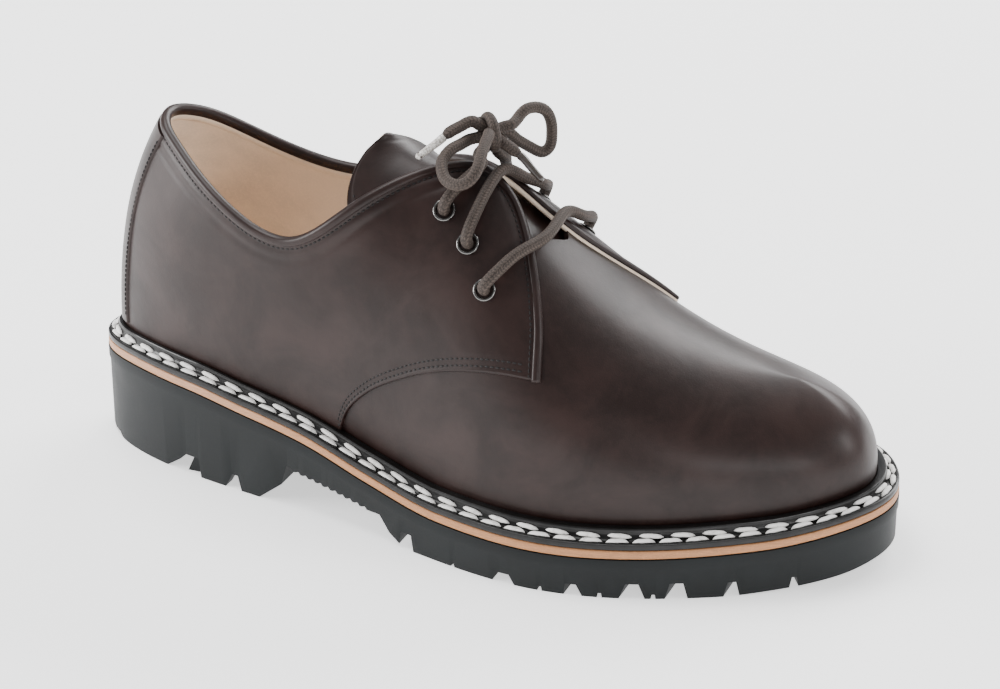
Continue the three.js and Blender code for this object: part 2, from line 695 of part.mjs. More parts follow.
// The welt: a flange on the midsole with an upright lip against the upper
function weltGeometry() {
  return fromManifold(
    toManifold(
      ringSolid(96, (station) => {
        const at = (inset, rise) => {
          const point = edgePoint(station, inset);
          return new THREE.Vector3(point.x, point.y, weltBottom(point.x) + rise);
        };
        const ledge = aroundShoe(LEDGES, station);
        const beside = (height, gap) => {
          const base = foot(station);
          const swell = lastSurface(station, shareAtRise(station, height));
          const out = outward(station);
          const reach = swell.sub(base).dot(out);
          return at(ledge - reach - gap, height);
        };
        const top = WELT + WELT_LIP;
        return [
          at(0.4, 0),
          at(0.4, WELT),
          beside(WELT + 0.6, QUARTER_STEP + CLEAR + WELT_LIP_THICK + 1.2),
          beside(top, QUARTER_STEP + CLEAR + WELT_LIP_THICK),
          beside(top, QUARTER_STEP + CLEAR),
          beside(0, QUARTER_STEP + CLEAR),
        ];
      }),
    ),
  );
}

// The share of the wall at which it stands height above its foot
function shareAtRise(station, height) {
  const turn = Math.min(aroundShoe(TURN, station), Math.PI / 2);
  const power = 2 / aroundShoe(BOXY, station);
  const whole = aroundShoe(TOP_HEIGHT, station) - foot(station).z;
  const sine = (height / whole) ** (1 / power) * Math.sin(turn);
  return Math.asin(Math.min(sine, 1)) / turn;
}

function insoleGeometry() {
  const inset = (station) => aroundShoe(LEDGES, station) + VAMP_WALL + CLEAR + 0.4;
  return slab(32, inset, weltBottom, (x) => weltBottom(x) + INSOLE);
}

// Point of a table of stations and shares at t from 0 to 1, through its rows in order
function onPath(rows, t) {
  const numbered = rows.map((row, i) => ({ ...row, i }));
  const at = t * (rows.length - 1);
  return {
    station: between(numbered, "i", "station", at),
    share: between(numbered, "i", "share", at),
  };
}

// A point of the quarter of one side: a runs from the heel to the facing, b from the welt to the collar
function quarterAt(side, a, b) {
  const front = QUARTER_FRONT[side];
  const facing = FACING[side];
  const bend = 0.62;
  const bottom =
    a < bend
      ? { station: (front[0].station * a) / bend, share: 0 }
      : onPath(front, (a - bend) / (1 - bend));
  const corner = { low: facing[0], high: facing.at(-1) };
  const share = THREE.MathUtils.lerp(1, corner.high.share, a ** 8);
  const top = { station: corner.high.station * a, share };
  const right = onPath(facing, b);
  const blend = (key, left) => {
    const sides = (1 - b) * bottom[key] + b * top[key] + (1 - a) * left(b) + a * right[key];
    const atHeel = (1 - a) * ((1 - b) * left(0) + b * left(1));
    const atFacing = a * ((1 - b) * corner.low[key] + b * corner.high[key]);
    return sides - atHeel - atFacing;
  };
  return { station: blend("station", () => 0), share: blend("share", (t) => t) };
}

const QUARTER_STEPS = 24;
const QUARTER_ROWS = 9;

// Both quarters as one sheet from the medial facing round the heel to the lateral facing
function quarterPoint(i, j, out) {
  const run = i / QUARTER_STEPS - 1;
  const side = run < 0 ? "medial" : "lateral";
  const { station, share } = quarterAt(side, Math.abs(run), j / QUARTER_ROWS);
  return wallPoint(run < 0 ? -station : station, THREE.MathUtils.clamp(share, 0, 1), out);
}

const quarterThickness = { out: QUARTER_STEP, in: -QUARTER_LINING };

function quartersGeometry() {
  return sheet(
    2 * QUARTER_STEPS,
    QUARTER_ROWS,
    (i, j) => quarterPoint(i, j, quarterThickness.out),
    (i, j) => quarterPoint(i, j, quarterThickness.in),
  );
}

// The rolled binding along the collar and down both facings. It stands a little past the edge, and
// proud of the leather on both faces.
function bindingGeometry() {
  const along = BINDING_WIDTH / (0.63 * SOLE_LENGTH);
  const up = BINDING_WIDTH / (0.68 * INSTEP_HEIGHT);
  const collarSteps = QUARTER_STEPS;
  const steps = collarSteps + QUARTER_ROWS;
  const point = (i, depth, out) => {
    const step = Math.abs(i - steps);
    const reach = { a: 1 - along * depth, b: 1 - up * depth };
    const a = reach.a * Math.min(step / collarSteps, 1);
    const b = reach.b * Math.min((steps - step) / QUARTER_ROWS, 1);
    const side = i < steps ? "medial" : "lateral";
    const { station, share } = quarterAt(side, a, b);
    return wallPoint(i < steps ? -station : station, share, out);
  };
  const past = -0.12;
  return sheet(
    2 * steps,
    1,
    (i, j) => point(i, j === 1 ? past : 1, QUARTER_STEP + BINDING_STEP),
    (i, j) => point(i, j === 1 ? past : 1, -QUARTER_LINING - CLEAR),
  );
}

// The strip over the seam at the back of the heel
function backStripGeometry() {
  const half = 1.4;
  const [steps, rows] = [8, 10];
  const low = WELT + WELT_LIP + 2 * CLEAR;
  const point = (i, j, out) => {
    const station = half * ((2 * i) / steps - 1);
    const share = THREE.MathUtils.lerp(shareAtRise((station + ROUND) % ROUND, low), 0.98, j / rows);
    return wallPoint(station, share, out);
  };
  return sheet(
    steps,
    rows,
    (i, j) => point(i, j, QUARTER_STEP + STRIP_STEP),
    (i, j) => point(i, j, 0),
  );
}

const VAMP_STEPS = 20;
const VAMP_ROWS = 11;

function vampGeometry() {
  const point = (i, j, out) => {
    const side = j <= VAMP_ROWS ? 1 : -1;
    const share = (side > 0 ? j : 2 * VAMP_ROWS - j) / VAMP_ROWS;
    const rear = THREE.MathUtils.lerp(VAMP_REAR.welt, VAMP_REAR.ridge, share);
    const station = THREE.MathUtils.lerp(rear, HALF, i / VAMP_STEPS);
    return vampPoint(side > 0 ? station : ROUND - station, share, out);
  };
  return sheet(
    VAMP_STEPS,
    2 * VAMP_ROWS,
    (i, j) => point(i, j, 0),
    (i, j) => point(i, j, -VAMP_WALL),
    true,
  );
}

function eyeletPlace(side, { station, share }) {
  const turned = side === "lateral" ? station : ROUND - station;
  return {
    middle: wallPoint(turned, share, QUARTER_STEP),
    normal: wallNormal(turned, share),
  };
}

// Turns a part made along +Y so that it points along the normal, and moves it to its place
function seat(geometry, { middle, normal }) {
  const turn = new THREE.Quaternion().setFromUnitVectors(new THREE.Vector3(0, 1, 0), normal);
  geometry.applyQuaternion(turn);
  geometry.translate(middle.x, middle.y, middle.z);
  return geometry;
}

const eyeletPlaces = ["lateral", "medial"].flatMap((side) =>
  EYELETS[side].map((row, i) => ({ name: `eyelet_${side}_${i + 1}`, ...eyeletPlace(side, row) })),
);

function eyeletHole(place) {
  const radius = EYELET_HOLE / 2 + EYELET_BARREL + CLEAR;
  return seat(new THREE.CylinderGeometry(radius, radius, 4 * EYELET_HOLE, EYELET_SIDES), place);
}

function eyeletGeometry(place) {
  const hole = EYELET_HOLE / 2;
  const barrel = hole + EYELET_BARREL;
  const flange = barrel + EYELET_FLANGE;
  const deep = -(QUARTER_STEP + QUARTER_LINING + 0.2);
  const seatHeight = CLEAR + 0.15;
  const outline = [
    [hole, deep],
    [barrel, deep],
    [barrel, seatHeight],
    [flange, seatHeight],
    [flange - 0.4, seatHeight + EYELET_THICK],
    [hole + 0.3, seatHeight + EYELET_THICK],
    [hole, deep],
  ].map(([r, y]) => new THREE.Vector2(r, y));
  return seat(new THREE.LatheGeometry(outline, EYELET_SIDES), place);
}

function upperGeometry() {
  const leather = join([vampGeometry(), quartersGeometry(), bindingGeometry(), backStripGeometry()]);
  const holes = join(eyeletPlaces.map(eyeletHole));
  return fromManifold(leather.subtract(holes));
}

// The tongue: under the facings it follows the wall, then it runs on toward the leg with a round end
const TONGUE_PATH = { front: 7.65, leave: 6.0, rows: 8, reachRows: 8, half: 7, side: 0.62 };

function tonguePoint(i, j, out) {
  const { front, leave, rows, reachRows, half, side } = TONGUE_PATH;
  const t = (j - half) / half;
  const station = THREE.MathUtils.lerp(front, leave, Math.min(i / rows, 1));
  const beyond = Math.max(i - rows, 0) / reachRows;
  const round = Math.sqrt(Math.max(1 - Math.max((beyond - 0.8) / 0.21, 0) ** 2, 0));
  const spread = Math.abs(t) * side * (0.55 + 0.45 * round);
  const share = 1 - (1 - side) * (spread / side);
  const turned = t < 0 ? station : ROUND - station;
  const here = wallPoint(turned, share, out);
  if (Math.abs(t) < 1e-9) here.copy(vampPoint(station, 1, out));
  here.x -= TONGUE_REACH * beyond * (1 - TONGUE_SKEW * t);
  here.z += TONGUE_RISE * beyond + TONGUE_DOME * beyond ** 2 * (1 - t * t);
  return here;
}

function tongueGeometry() {
  const { rows, reachRows, half } = TONGUE_PATH;
  const face = -(VAMP_WALL + 4 * CLEAR);
  return sheet(
    rows + reachRows,
    2 * half,
    (i, j) => tonguePoint(rows + reachRows - i, j, face),
    (i, j) => tonguePoint(rows + reachRows - i, j, face - TONGUE),
  );
}

// Part of a round cord through the points, between two shares of its length
function strand(points, diameter, from = 0, to = 1) {
  const whole = new THREE.CatmullRomCurve3(points, false, "centripetal");
  const sides = 8;
  const steps = Math.ceil(((to - from) * whole.getLength()) / (0.9 * diameter));
  const middle = Array.from({ length: steps + 1 }, (_, i) =>
    whole.getPointAt(THREE.MathUtils.lerp(from, to, i / steps)),
  );
  const shape = new THREE.Shape(
    Array.from({ length: sides }, (_, i) => {
      const angle = (2 * Math.PI * i) / sides;
      return new THREE.Vector2(Math.cos(angle), Math.sin(angle)).multiplyScalar(diameter / 2);
    }),
  );
  const extrudePath = new THREE.CatmullRomCurve3(middle, false, "centripetal");
  return new THREE.ExtrudeGeometry(shape, { steps, extrudePath });
}

const knotMiddle = new THREE.Vector3(KNOT.along * SOLE_LENGTH, 0, INSTEP_HEIGHT + KNOT.rise * LACE);
const knotHalf = new THREE.Vector3(KNOT.x, KNOT.y, KNOT.z).multiplyScalar(LACE);

// The two points with which a strand leaves the knot square to its surface
function leaving(name) {
  const { x, y, z } = LEAVES[name];
  const normal = new THREE.Vector3(x, y, z).normalize();
  const scaled = normal.clone().multiply(knotHalf);
  const surface = scaled.clone().multiply(knotHalf).divideScalar(scaled.length());
  return [CLEAR, 0.6 * LACE].map((gap) => surface.clone().addScaledVector(normal, gap).add(knotMiddle));
}

function fromKnot(rows) {
  return rows.map(({ x, y, z }) => new THREE.Vector3(x, y, z).multiplyScalar(BOW).add(knotMiddle));
}

function knotGeometry() {
  const geometry = new THREE.SphereGeometry(1, 16, 10);
  geometry.scale(knotHalf.x, knotHalf.y, knotHalf.z);
  geometry.translate(knotMiddle.x, knotMiddle.y, knotMiddle.z);
  return geometry;
}

function runPoints(name) {
  const points = LACE_RUNS[name].map(({ side, station, share, lift }) =>
    wallPoint(side === "lateral" ? station : ROUND - station, share, QUARTER_STEP + lift * LACE),
  );
  return LEAVES[name] ? [...points, ...leaving(name).reverse()] : points;
}

const loops = {
  lace_loop_right: [
    ...leaving("loop_right_out"),
    ...fromKnot(LOOP_RIGHT),
    ...leaving("loop_right_back").reverse(),
  ],
  lace_loop_left: [
    ...leaving("loop_left_out"),
    ...fromKnot(LOOP_LEFT),
    ...leaving("loop_left_back").reverse(),
  ],
};

// A free end and its tip: the lace stops where the tip starts
function laceEnd(points) {
  const length = new THREE.CatmullRomCurve3(points, false, "centripetal").getLength();
  const tip = 1 - AGLET / length;
  return {
    lace: strand(points, LACE, 0, tip - (2 * CLEAR) / length),
    tip: strand(points, AGLET_DIAMETER, tip, 1),
  };
}

const shoe = new THREE.Group();
shoe.position.set(-SOLE_LENGTH / 2, -MIDDLE, 0);

function add(name, geometry, color, roughness, metalness = 0) {
  const material = new THREE.MeshStandardMaterial({ color, roughness, metalness });
  const mesh = new THREE.Mesh(geometry, material);
  mesh.name = name;
  shoe.add(mesh);
}

add("outsole", outsoleGeometry(), COLORS.rubber, 0.8);
add("midsole", slab(40, 0.2, midsoleBottom, midsoleTop), COLORS.midsole, 0.6);
add("welt", weltGeometry(), COLORS.welt, 0.6);
add("insole", insoleGeometry(), COLORS.lining, 0.8);
add("upper", upperGeometry(), COLORS.leather, 0.4);
add("tongue", tongueGeometry(), COLORS.leather, 0.4);
for (const place of eyeletPlaces) add(place.name, eyeletGeometry(place), COLORS.metal, 0.3, 1);
for (const name of Object.keys(LACE_RUNS)) add(name, strand(runPoints(name), LACE), COLORS.lace, 0.8);
add("lace_knot", knotGeometry(), COLORS.lace, 0.8);
for (const [name, points] of Object.entries(loops)) add(name, strand(points, LACE), COLORS.lace, 0.8);
for (const [side, rows] of Object.entries({ left: END_LEFT, right: END_RIGHT })) {
  const { lace, tip } = laceEnd([...leaving(`lace_end_${side}`), ...fromKnot(rows)]);
  add(`lace_end_${side}`, lace, COLORS.lace, 0.8);
  add(`aglet_${side}`, tip, COLORS.plastic, 0.3);
}

const group = new THREE.Group();
group.add(shoe);
export default group;
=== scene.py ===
"""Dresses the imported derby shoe: leather, lining, welt stitches, rubber tread and a tied lace.

The shapes are worked out in millimetres in the shoe's own frame, with the heel's end at x = 0 and the
outer side at -y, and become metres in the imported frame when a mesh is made.
"""

import math
from contextlib import contextmanager
from functools import cache
from itertools import takewhile

import bmesh
import bpy
import numpy as np
from bpy.props import FloatProperty, FloatVectorProperty, IntProperty, PointerProperty
from mathutils import Matrix, Vector
from mathutils.bvhtree import BVHTree
from mathutils.kdtree import KDTree


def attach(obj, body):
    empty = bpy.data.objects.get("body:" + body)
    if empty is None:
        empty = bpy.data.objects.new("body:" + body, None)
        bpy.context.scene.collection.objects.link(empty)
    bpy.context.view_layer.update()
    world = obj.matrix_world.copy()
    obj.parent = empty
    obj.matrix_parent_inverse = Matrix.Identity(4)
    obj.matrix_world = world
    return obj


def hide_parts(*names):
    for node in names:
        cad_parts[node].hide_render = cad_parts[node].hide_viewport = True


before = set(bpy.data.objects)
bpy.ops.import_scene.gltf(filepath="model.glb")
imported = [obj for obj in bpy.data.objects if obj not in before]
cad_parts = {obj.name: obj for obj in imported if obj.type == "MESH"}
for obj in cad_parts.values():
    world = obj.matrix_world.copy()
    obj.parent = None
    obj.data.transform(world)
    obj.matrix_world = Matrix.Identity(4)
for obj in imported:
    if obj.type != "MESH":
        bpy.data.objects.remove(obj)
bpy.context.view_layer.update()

bl_info = {
    "name": "Derby shoe finish",
    "version": (1, 0, 0),
    "blender": (4, 5, 0),
    "location": "3D View > Sidebar > Shoe",
    "description": "Leather, lining, stitches, tread and lace of a low derby shoe",
    "category": "Object",
}

# Sizes of the sole, as in the part
SOLE_LENGTH = 292
BALL_WIDTH = 110
HEEL_HEIGHT = 34
FOREFOOT_HEIGHT = 14
TOE_SPRING = 8
TOE_LIFT = 7
SHANK_HEIGHT = 9.4
GROOVE_WIDTH = 8
GROOVE_DEPTH = 6
MIDSOLE = 3
LIP_HEIGHT = 4
LIP_STEP = 0.4

# Sizes of the upper, as in the part
INSTEP_HEIGHT = 125
LEDGE = 8.6
BULGE = 3
VAMP_WALL = 1.8
LINING = 0.9
QUARTER_STEP = 1.4
STRIP_STEP = 0.8
INSOLE = 3
TONGUE = 2.2
CLEAR = 0.3
LACE = 4
BOW = 25
AGLET = 11

# The tongue's end, fitted to the photo, which is rounder than the part's
TONGUE_REACH = 30.3
TONGUE_SKEW = 0.6
TONGUE_RISE = 5.7
TONGUE_DOME = 3.6
TONGUE_SHIFT = 1.4

# Stations run once round the shoe: 0 at the heel, HALF at the toe, the outer side first
HALF = 12
ROUND = 2 * HALF

# One millimetre in metres
MM = 0.001

# Half widths of the sole at each station, outer and inner side, as shares of the ball width
OUTLINE = np.array([
    (-0.027, 0.027), (0.083, 0.158), (0.178, 0.285), (0.257, 0.345), (0.315, 0.33), (0.376, 0.306),
    (0.466, 0.317), (0.524, 0.402), (0.468, 0.473), (0.34, 0.463), (0.208, 0.39), (0.078, 0.222),
    (-0.06, 0.06),
])

# Shares of the heel's extra height and of the toe spring along the sole
HEEL_RISE = np.array([
    (0, 0.94), (0.08, 1), (0.16, 0.96), (0.24, 0.81), (0.32, 0.63), (0.42, 0.27), (0.52, 0.03),
    (0.64, 0), (1, 0),
])
TOE_RISE = np.array([(0, 0), (0.64, 0), (0.76, 0.06), (0.88, 0.26), (1, 1)])
GROUND = np.array([(0, 0.4), (0.05, 0), (0.84, 0), (0.9, 0.18), (0.96, 0.52), (1, 1)])

# The upper's top edge at each station: along, outer, inner, height, turn, round, bulge
CROWN = np.array([
    (0.098, -0.027, 0.027, 0.985, 52, 2.0, 0.2),
    (0.109, 0.06, 0.09, 0.976, 52, 2.0, 0.27),
    (0.141, 0.13, 0.168, 0.934, 52, 2.1, 0.5),
    (0.2123, 0.236, 0.238, 0.848, 52, 2.2, 0.83),
    (0.31, 0.291, 0.285, 0.789, 52, 2.2, 1),
    (0.4007, 0.25, 0.26, 0.935, 62, 2.2, 0.83),
    (0.5034, 0.041, 0.041, 1.0, 80, 2.2, 0.83),
    (0.5822, 0, 0, 0.856, 0, 2.35, 0.83),
    (0.6678, 0, 0, 0.692, 0, 2.4, 1),
    (0.7432, -0.009, 0.009, 0.585, 0, 2.45, 1),
    (0.8082, -0.027, 0.027, 0.527, 0, 2.5, 1),
    (0.8493, -0.045, 0.045, 0.504, 0, 2.5, 0.83),
    (0.8699, -0.055, 0.055, 0.495, 0, 2.5, 0.5),
])
MEDIAL_DROP = np.array([0, 0, 0, 0, -0.013, 0.059, 0.042, 0, 0, 0, 0, 0, 0])
LEDGE_SHARE = np.array([0.9, 0.88, 0.9, 0.98, 1, 1, 1, 1, 1, 1, 1, 1, 1])

# Stations and shares of the wall along the quarter's edges
FACING = {
    "lateral": np.array([
        (7.07, 0.4), (7.06, 0.53), (6.98, 0.67), (6.8, 0.81), (6.55, 0.9), (6.12, 0.965),
    ]),
    "medial": np.array([
        (7.82, 0.6), (7.68, 0.74), (7.48, 0.85), (7.2, 0.93), (6.75, 0.972), (6.12, 0.982),
    ]),
}
QUARTER_FRONT = {
    "lateral": np.array([
        (4.92, 0), (5.03, 0.1), (5.28, 0.19), (5.75, 0.265), (6.4, 0.325), (7.07, 0.4),
    ]),
    "medial": np.array([
        (5.3, 0), (5.45, 0.11), (5.75, 0.21), (6.3, 0.32), (7.05, 0.45), (7.82, 0.6),
    ]),
}
FRONT_BEND = 0.62
VAMP_REAR = {"welt": 4.5, "ridge": 7.3}
EYELETS = {
    "lateral": [(6.43, 0.55), (6.17, 0.655), (5.85, 0.755)],
    "medial": [(6.9, 0.68), (6.46, 0.74), (5.98, 0.79)],
}

# Grooves of the tread: along, floor width, root width, shift, depth
GROOVES = [
    (0.053, 0.6, 0.4, 0, 0.28), (0.151, 1.75, 0.7, 0.42, 1.2), (0.224, 0.85, 0.3, 0.1, 0.93),
    (0.475, 0.75, 0.5, 0, 1), (0.6075, 1, 0.48, 0, 0.57), (0.69, 0.75, 0.45, -0.1, 0.67),
    (0.754, 1, 0.5, 0, 0.9), (0.8, 0.85, 0.5, 0, 0.95), (0.8555, 0.58, 0.3, 0, 0.87),
    (0.918, 0.38, 0.2, 0, 0.6),
]
GROOVE_INNER = 0.24
GROOVE_REACH = 0.3
GROOVE_SLANT = 0.18
NICKS = [0.54, 0.652, 0.72, 0.777]
NICK = 1.6
NICK_REACH = 7
BREAST = [(0.262, 0), (0.295, 0.23), (0.303, 0.456)]
FOREFOOT_START = 0.437
RIB_PITCH = 3.1
RIB = 1
CHANNEL = {"width": 0.43, "depth": 0.67, "offset": 0.13}

# The lace's runs: side, station, share, height of its middle above the quarter as a share of LACE
LACE_RUNS = {
    "lace_bar_1": [
        ("lateral", 6.43, 0.55, -0.3), ("lateral", 6.432, 0.551, 0.42), ("lateral", 6.44, 0.556, 0.88),
        ("lateral", 6.49, 0.585, 1.15), ("lateral", 6.57, 0.635, 1.0), ("lateral", 6.69, 0.71, 0.8),
        ("lateral", 6.86, 0.8, 0.82), ("lateral", 6.98, 0.89, 0.9), ("medial", 7.04, 0.96, 0.92),
        ("medial", 7.04, 0.88, 0.88), ("medial", 7.0, 0.79, 0.9), ("medial", 6.94, 0.72, 1.15),
        ("medial", 6.905, 0.686, 0.88), ("medial", 6.902, 0.681, 0.42), ("medial", 6.9, 0.68, -0.3),
    ],
    "lace_bar_2": [
        ("lateral", 6.17, 0.655, -0.3), ("lateral", 6.17, 0.656, 0.42), ("lateral", 6.17, 0.662, 0.88),
        ("lateral", 6.175, 0.69, 1.15), ("lateral", 6.185, 0.74, 1.0), ("lateral", 6.2, 0.81, 0.82),
        ("lateral", 6.23, 0.9, 0.84), ("lateral", 6.28, 0.955, 0.8), ("lateral", 6.4, 0.99, 0.5),
        ("medial", 6.5, 0.965, 0.72), ("medial", 6.56, 0.9, 0.84), ("medial", 6.53, 0.82, 0.9),
        ("medial", 6.49, 0.775, 1.15), ("medial", 6.465, 0.746, 0.88), ("medial", 6.462, 0.741, 0.42),
        ("medial", 6.46, 0.74, -0.3),
    ],
    "lace_tail_lateral": [
        ("lateral", 5.85, 0.755, -0.3), ("lateral", 5.852, 0.756, 0.42), ("lateral", 5.86, 0.762, 0.88),
        ("lateral", 5.88, 0.785, 1.15), ("lateral", 5.93, 0.83, 1.0), ("lateral", 6.0, 0.88, 0.9),
        ("lateral", 6.05, 0.94, 0.98),
    ],
    "lace_tail_medial": [
        ("medial", 5.98, 0.79, -0.3), ("medial", 5.982, 0.791, 0.42), ("medial", 5.985, 0.798, 0.88),
        ("medial", 6.0, 0.82, 1.15), ("medial", 6.02, 0.86, 1.05), ("medial", 6.05, 0.9, 1.0),
        ("medial", 6.1, 0.95, 1.0),
    ],
}
KNOT_MIDDLE = np.array([0.5115 * SOLE_LENGTH, 0, INSTEP_HEIGHT + 2.3 * LACE])
KNOT_HALF = np.array([1.15, 1.35, 1.55]) * LACE
LEAVES = {
    "lace_tail_lateral": (-0.45, -0.49, -0.75),
    "lace_tail_medial": (0.27, 0.39, -0.88),
    "lace_end_left": (-0.79, -0.43, 0.44),
    "lace_end_right": (0.94, -0.15, -0.3),
    "loop_right_out": (0.77, 0.62, 0.15),
    "loop_right_back": (0.05, 0.97, -0.23),
    "loop_left_out": (-0.75, -0.65, -0.12),
    "loop_left_back": (0.37, -0.9, 0.21),
}

# The bow's points from the knot's middle, as shares of BOW
LOOP_RIGHT = [
    (0.23, 0.36, 0.09), (0.27, 0.5, 0.16), (0.33, 0.64, 0.17), (0.41, 0.76, 0.13),
    (0.47, 0.86, 0.03), (0.5, 0.92, -0.13), (0.5, 0.94, -0.29), (0.48, 0.92, -0.46),
    (0.41, 0.86, -0.53), (0.34, 0.78, -0.49), (0.24, 0.66, -0.38), (0.15, 0.52, -0.25),
    (0.09, 0.4, -0.13),
]
LOOP_LEFT = [
    (-0.25, -0.44, -0.05), (-0.3, -0.64, -0.06), (-0.33, -0.82, -0.14), (-0.28, -0.96, -0.22),
    (-0.18, -1.06, -0.3), (-0.01, -1.12, -0.32), (0.12, -1.1, -0.28), (0.2, -1.0, -0.18),
    (0.19, -0.8, -0.06), (0.14, -0.54, 0.03),
]
END_LEFT = [
    (-0.32, -0.26, 0.13), (-0.39, -0.38, 0.1), (-0.45, -0.5, 0.05), (-0.57, -0.64, -0.06),
    (-0.71, -0.78, -0.17),
]
END_RIGHT = [
    (0.38, -0.08, -0.18), (0.49, -0.1, -0.24), (0.64, -0.12, -0.37), (0.79, -0.14, -0.5),
]


# Shape maths


def unit(vectors):
    return vectors / np.maximum(np.linalg.norm(vectors, axis=-1, keepdims=True), 1e-12)


def ramp(value, low, high):
    """0 up to low, 1 from high, and a smooth rise between."""
    t = np.clip((np.asarray(value, float) - low) / (high - low), 0, 1)
    return t * t * (3 - 2 * t)


class RoundShoe:
    """A value that runs smoothly round the shoe through one number per station."""

    def __init__(self, outer, inner):
        rows = np.concatenate([outer, np.asarray(inner)[1:HALF][::-1]])
        turn = np.roll(np.eye(ROUND), 1, 0) + np.roll(np.eye(ROUND), -1, 0)
        second = 6 * (np.roll(rows, -1) - 2 * rows + np.roll(rows, 1))
        self.rows = rows
        self.bend = np.linalg.solve(4 * np.eye(ROUND) + turn, second)

    def __call__(self, station):
        station = np.asarray(station, float)
        whole = np.floor(station).astype(int)
        t = station - whole
        s = 1 - t
        i, j = whole % ROUND, (whole + 1) % ROUND
        bent = (s**3 - s) * self.bend[i] + (t**3 - t) * self.bend[j]
        return s * self.rows[i] + t * self.rows[j] + bent / 6


def between(rows, at):
    """Value between a table's rows by a monotone cubic, so that flat stretches stay flat."""
    x, y = rows[:, 0], rows[:, 1]
    slope = np.diff(y) / np.diff(x)
    product, total = slope[:-1] * slope[1:], slope[:-1] + slope[1:]
    inner = np.where(product > 0, 2 * product / np.where(total == 0, 1, total), 0)
    tangent = np.concatenate([slope[:1], inner, slope[-1:]])
    at = np.clip(at, x[0], x[-1])
    i = np.clip(np.searchsorted(x, at, side="right") - 1, 0, len(x) - 2)
    width, rise = x[i + 1] - x[i], y[i + 1] - y[i]
    t = (at - x[i]) / width
    m0, m1 = tangent[i] * width, tangent[i + 1] * width
    return y[i] + t * (m0 + t * (3 * rise - 2 * m0 - m1 + t * (m0 + m1 - 2 * rise)))


EDGE = RoundShoe(-OUTLINE[:, 0] * BALL_WIDTH, OUTLINE[:, 1] * BALL_WIDTH)
MIDDLE = (EDGE.rows.max() + EDGE.rows.min()) / 2
TO_FRAME = np.array([-SOLE_LENGTH / 2, -MIDDLE, 0])
TOP_ALONG = RoundShoe(CROWN[:, 0] * SOLE_LENGTH, CROWN[:, 0] * SOLE_LENGTH)
TOP_ACROSS = RoundShoe(-CROWN[:, 1] * BALL_WIDTH, CROWN[:, 2] * BALL_WIDTH)
TOP_HEIGHT = RoundShoe(CROWN[:, 3] * INSTEP_HEIGHT, (CROWN[:, 3] - MEDIAL_DROP) * INSTEP_HEIGHT)
BOXY = RoundShoe(CROWN[:, 5], CROWN[:, 5])
BULGES = RoundShoe(CROWN[:, 6] * BULGE, CROWN[:, 6] * BULGE)
LEDGES = RoundShoe(LEDGE_SHARE * LEDGE, LEDGE_SHARE * LEDGE)


def edge_point(station, inset=0.0):
    """A point of the sole's edge in plan, moved in by inset."""

    def at(s):
        return np.stack([SOLE_LENGTH * (1 - np.cos(np.pi * s / HALF)) / 2, EDGE(s)], -1)

    station = np.asarray(station, float)
    step = unit(at(station + 0.02) - at(station - 0.02))
    inward = np.stack([-step[..., 1], step[..., 0]], -1)
    return at(station) + inward * np.asarray(inset)[..., None]


def outward(station):
    flat = edge_point(station, -1.0) - edge_point(station)
    return np.concatenate([flat, np.zeros(flat.shape[:-1] + (1,))], -1)


def rubber_top(x):
    share = x / SOLE_LENGTH
    heel = (HEEL_HEIGHT - FOREFOOT_HEIGHT) * between(HEEL_RISE, share)
    return FOREFOOT_HEIGHT + heel + TOE_SPRING * between(TOE_RISE, share)


def ground(x):
    return TOE_LIFT * between(GROUND, x / SOLE_LENGTH)


def midsole_bottom(x):
    return rubber_top(x) + CLEAR


def midsole_top(x):
    return midsole_bottom(x) + MIDSOLE


def welt_bottom(x):
    return midsole_top(x) + CLEAR


def foot(station):
    plan = edge_point(station, LEDGES(station))
    return np.concatenate([plan, welt_bottom(plan[..., :1])], -1)


def turn_at(station):
    """How far the wall leans in by its top, in radians. On the ridge it keeps the ridge's slope."""
    given = CROWN[min(station, ROUND - station), 4]
    if given:
        return math.radians(given)
    along = TOP_ALONG.rows
    height = np.concatenate([TOP_HEIGHT.rows[:HALF + 1], TOP_HEIGHT.rows[HALF - 1:0:-1]])
    near = min(abs(HALF - station), 1)
    ahead = station + near if station < HALF else station - near
    behind = station - 1 if station < HALF else station + 1
    fall = (height[ahead] - height[behind]) / (along[ahead] - along[behind])
    base = foot(float(station))
    reach = math.hypot(along[station] - base[0], TOP_ACROSS.rows[station] - base[1])
    wanted = fall * (along[station] - base[0]) / reach
    steep = (height[station] - base[2]) / reach
    power = 2 / BOXY.rows[station]
    low, high = math.pi / 4, math.pi / 2
    for _ in range(30):
        turn = (low + high) / 2
        sine, cosine = math.sin(turn), math.cos(turn)
        slope = steep * cosine ** (2 - power) * (1 - cosine**power) / sine**2
        if slope > wanted:
            low = turn
        else:
            high = turn
    return low


TURNS = [turn_at(station) for station in range(ROUND)]
TURN = RoundShoe(TURNS[: HALF + 1], (TURNS[HALF:] + TURNS[:1])[::-1])


def last_surface(station, share):
    """The upper's base surface: share 0 is the foot, share 1 the collar's edge or the ridge."""
    station, share = np.broadcast_arrays(np.asarray(station, float), np.asarray(share, float))
    base = foot(station)
    turn = np.minimum(TURN(station), math.pi / 2)
    power = 2 / BOXY(station)
    full = np.sin(turn) ** power
    lift = np.sin(share * turn) ** power / full
    closed = np.maximum(np.cos(turn), 0) ** power
    lean = (1 - np.maximum(np.cos(share * turn), 0) ** power) / (1 - closed)
    swell = np.sin(np.pi * full * lift) - lean * np.sin(np.pi * full)
    top = np.stack([TOP_ALONG(station), TOP_ACROSS(station), TOP_HEIGHT(station)], -1)
    mix = np.stack([lean, lean, lift], -1)
    return base + (top - base) * mix + outward(station) * (swell * BULGES(station))[..., None]


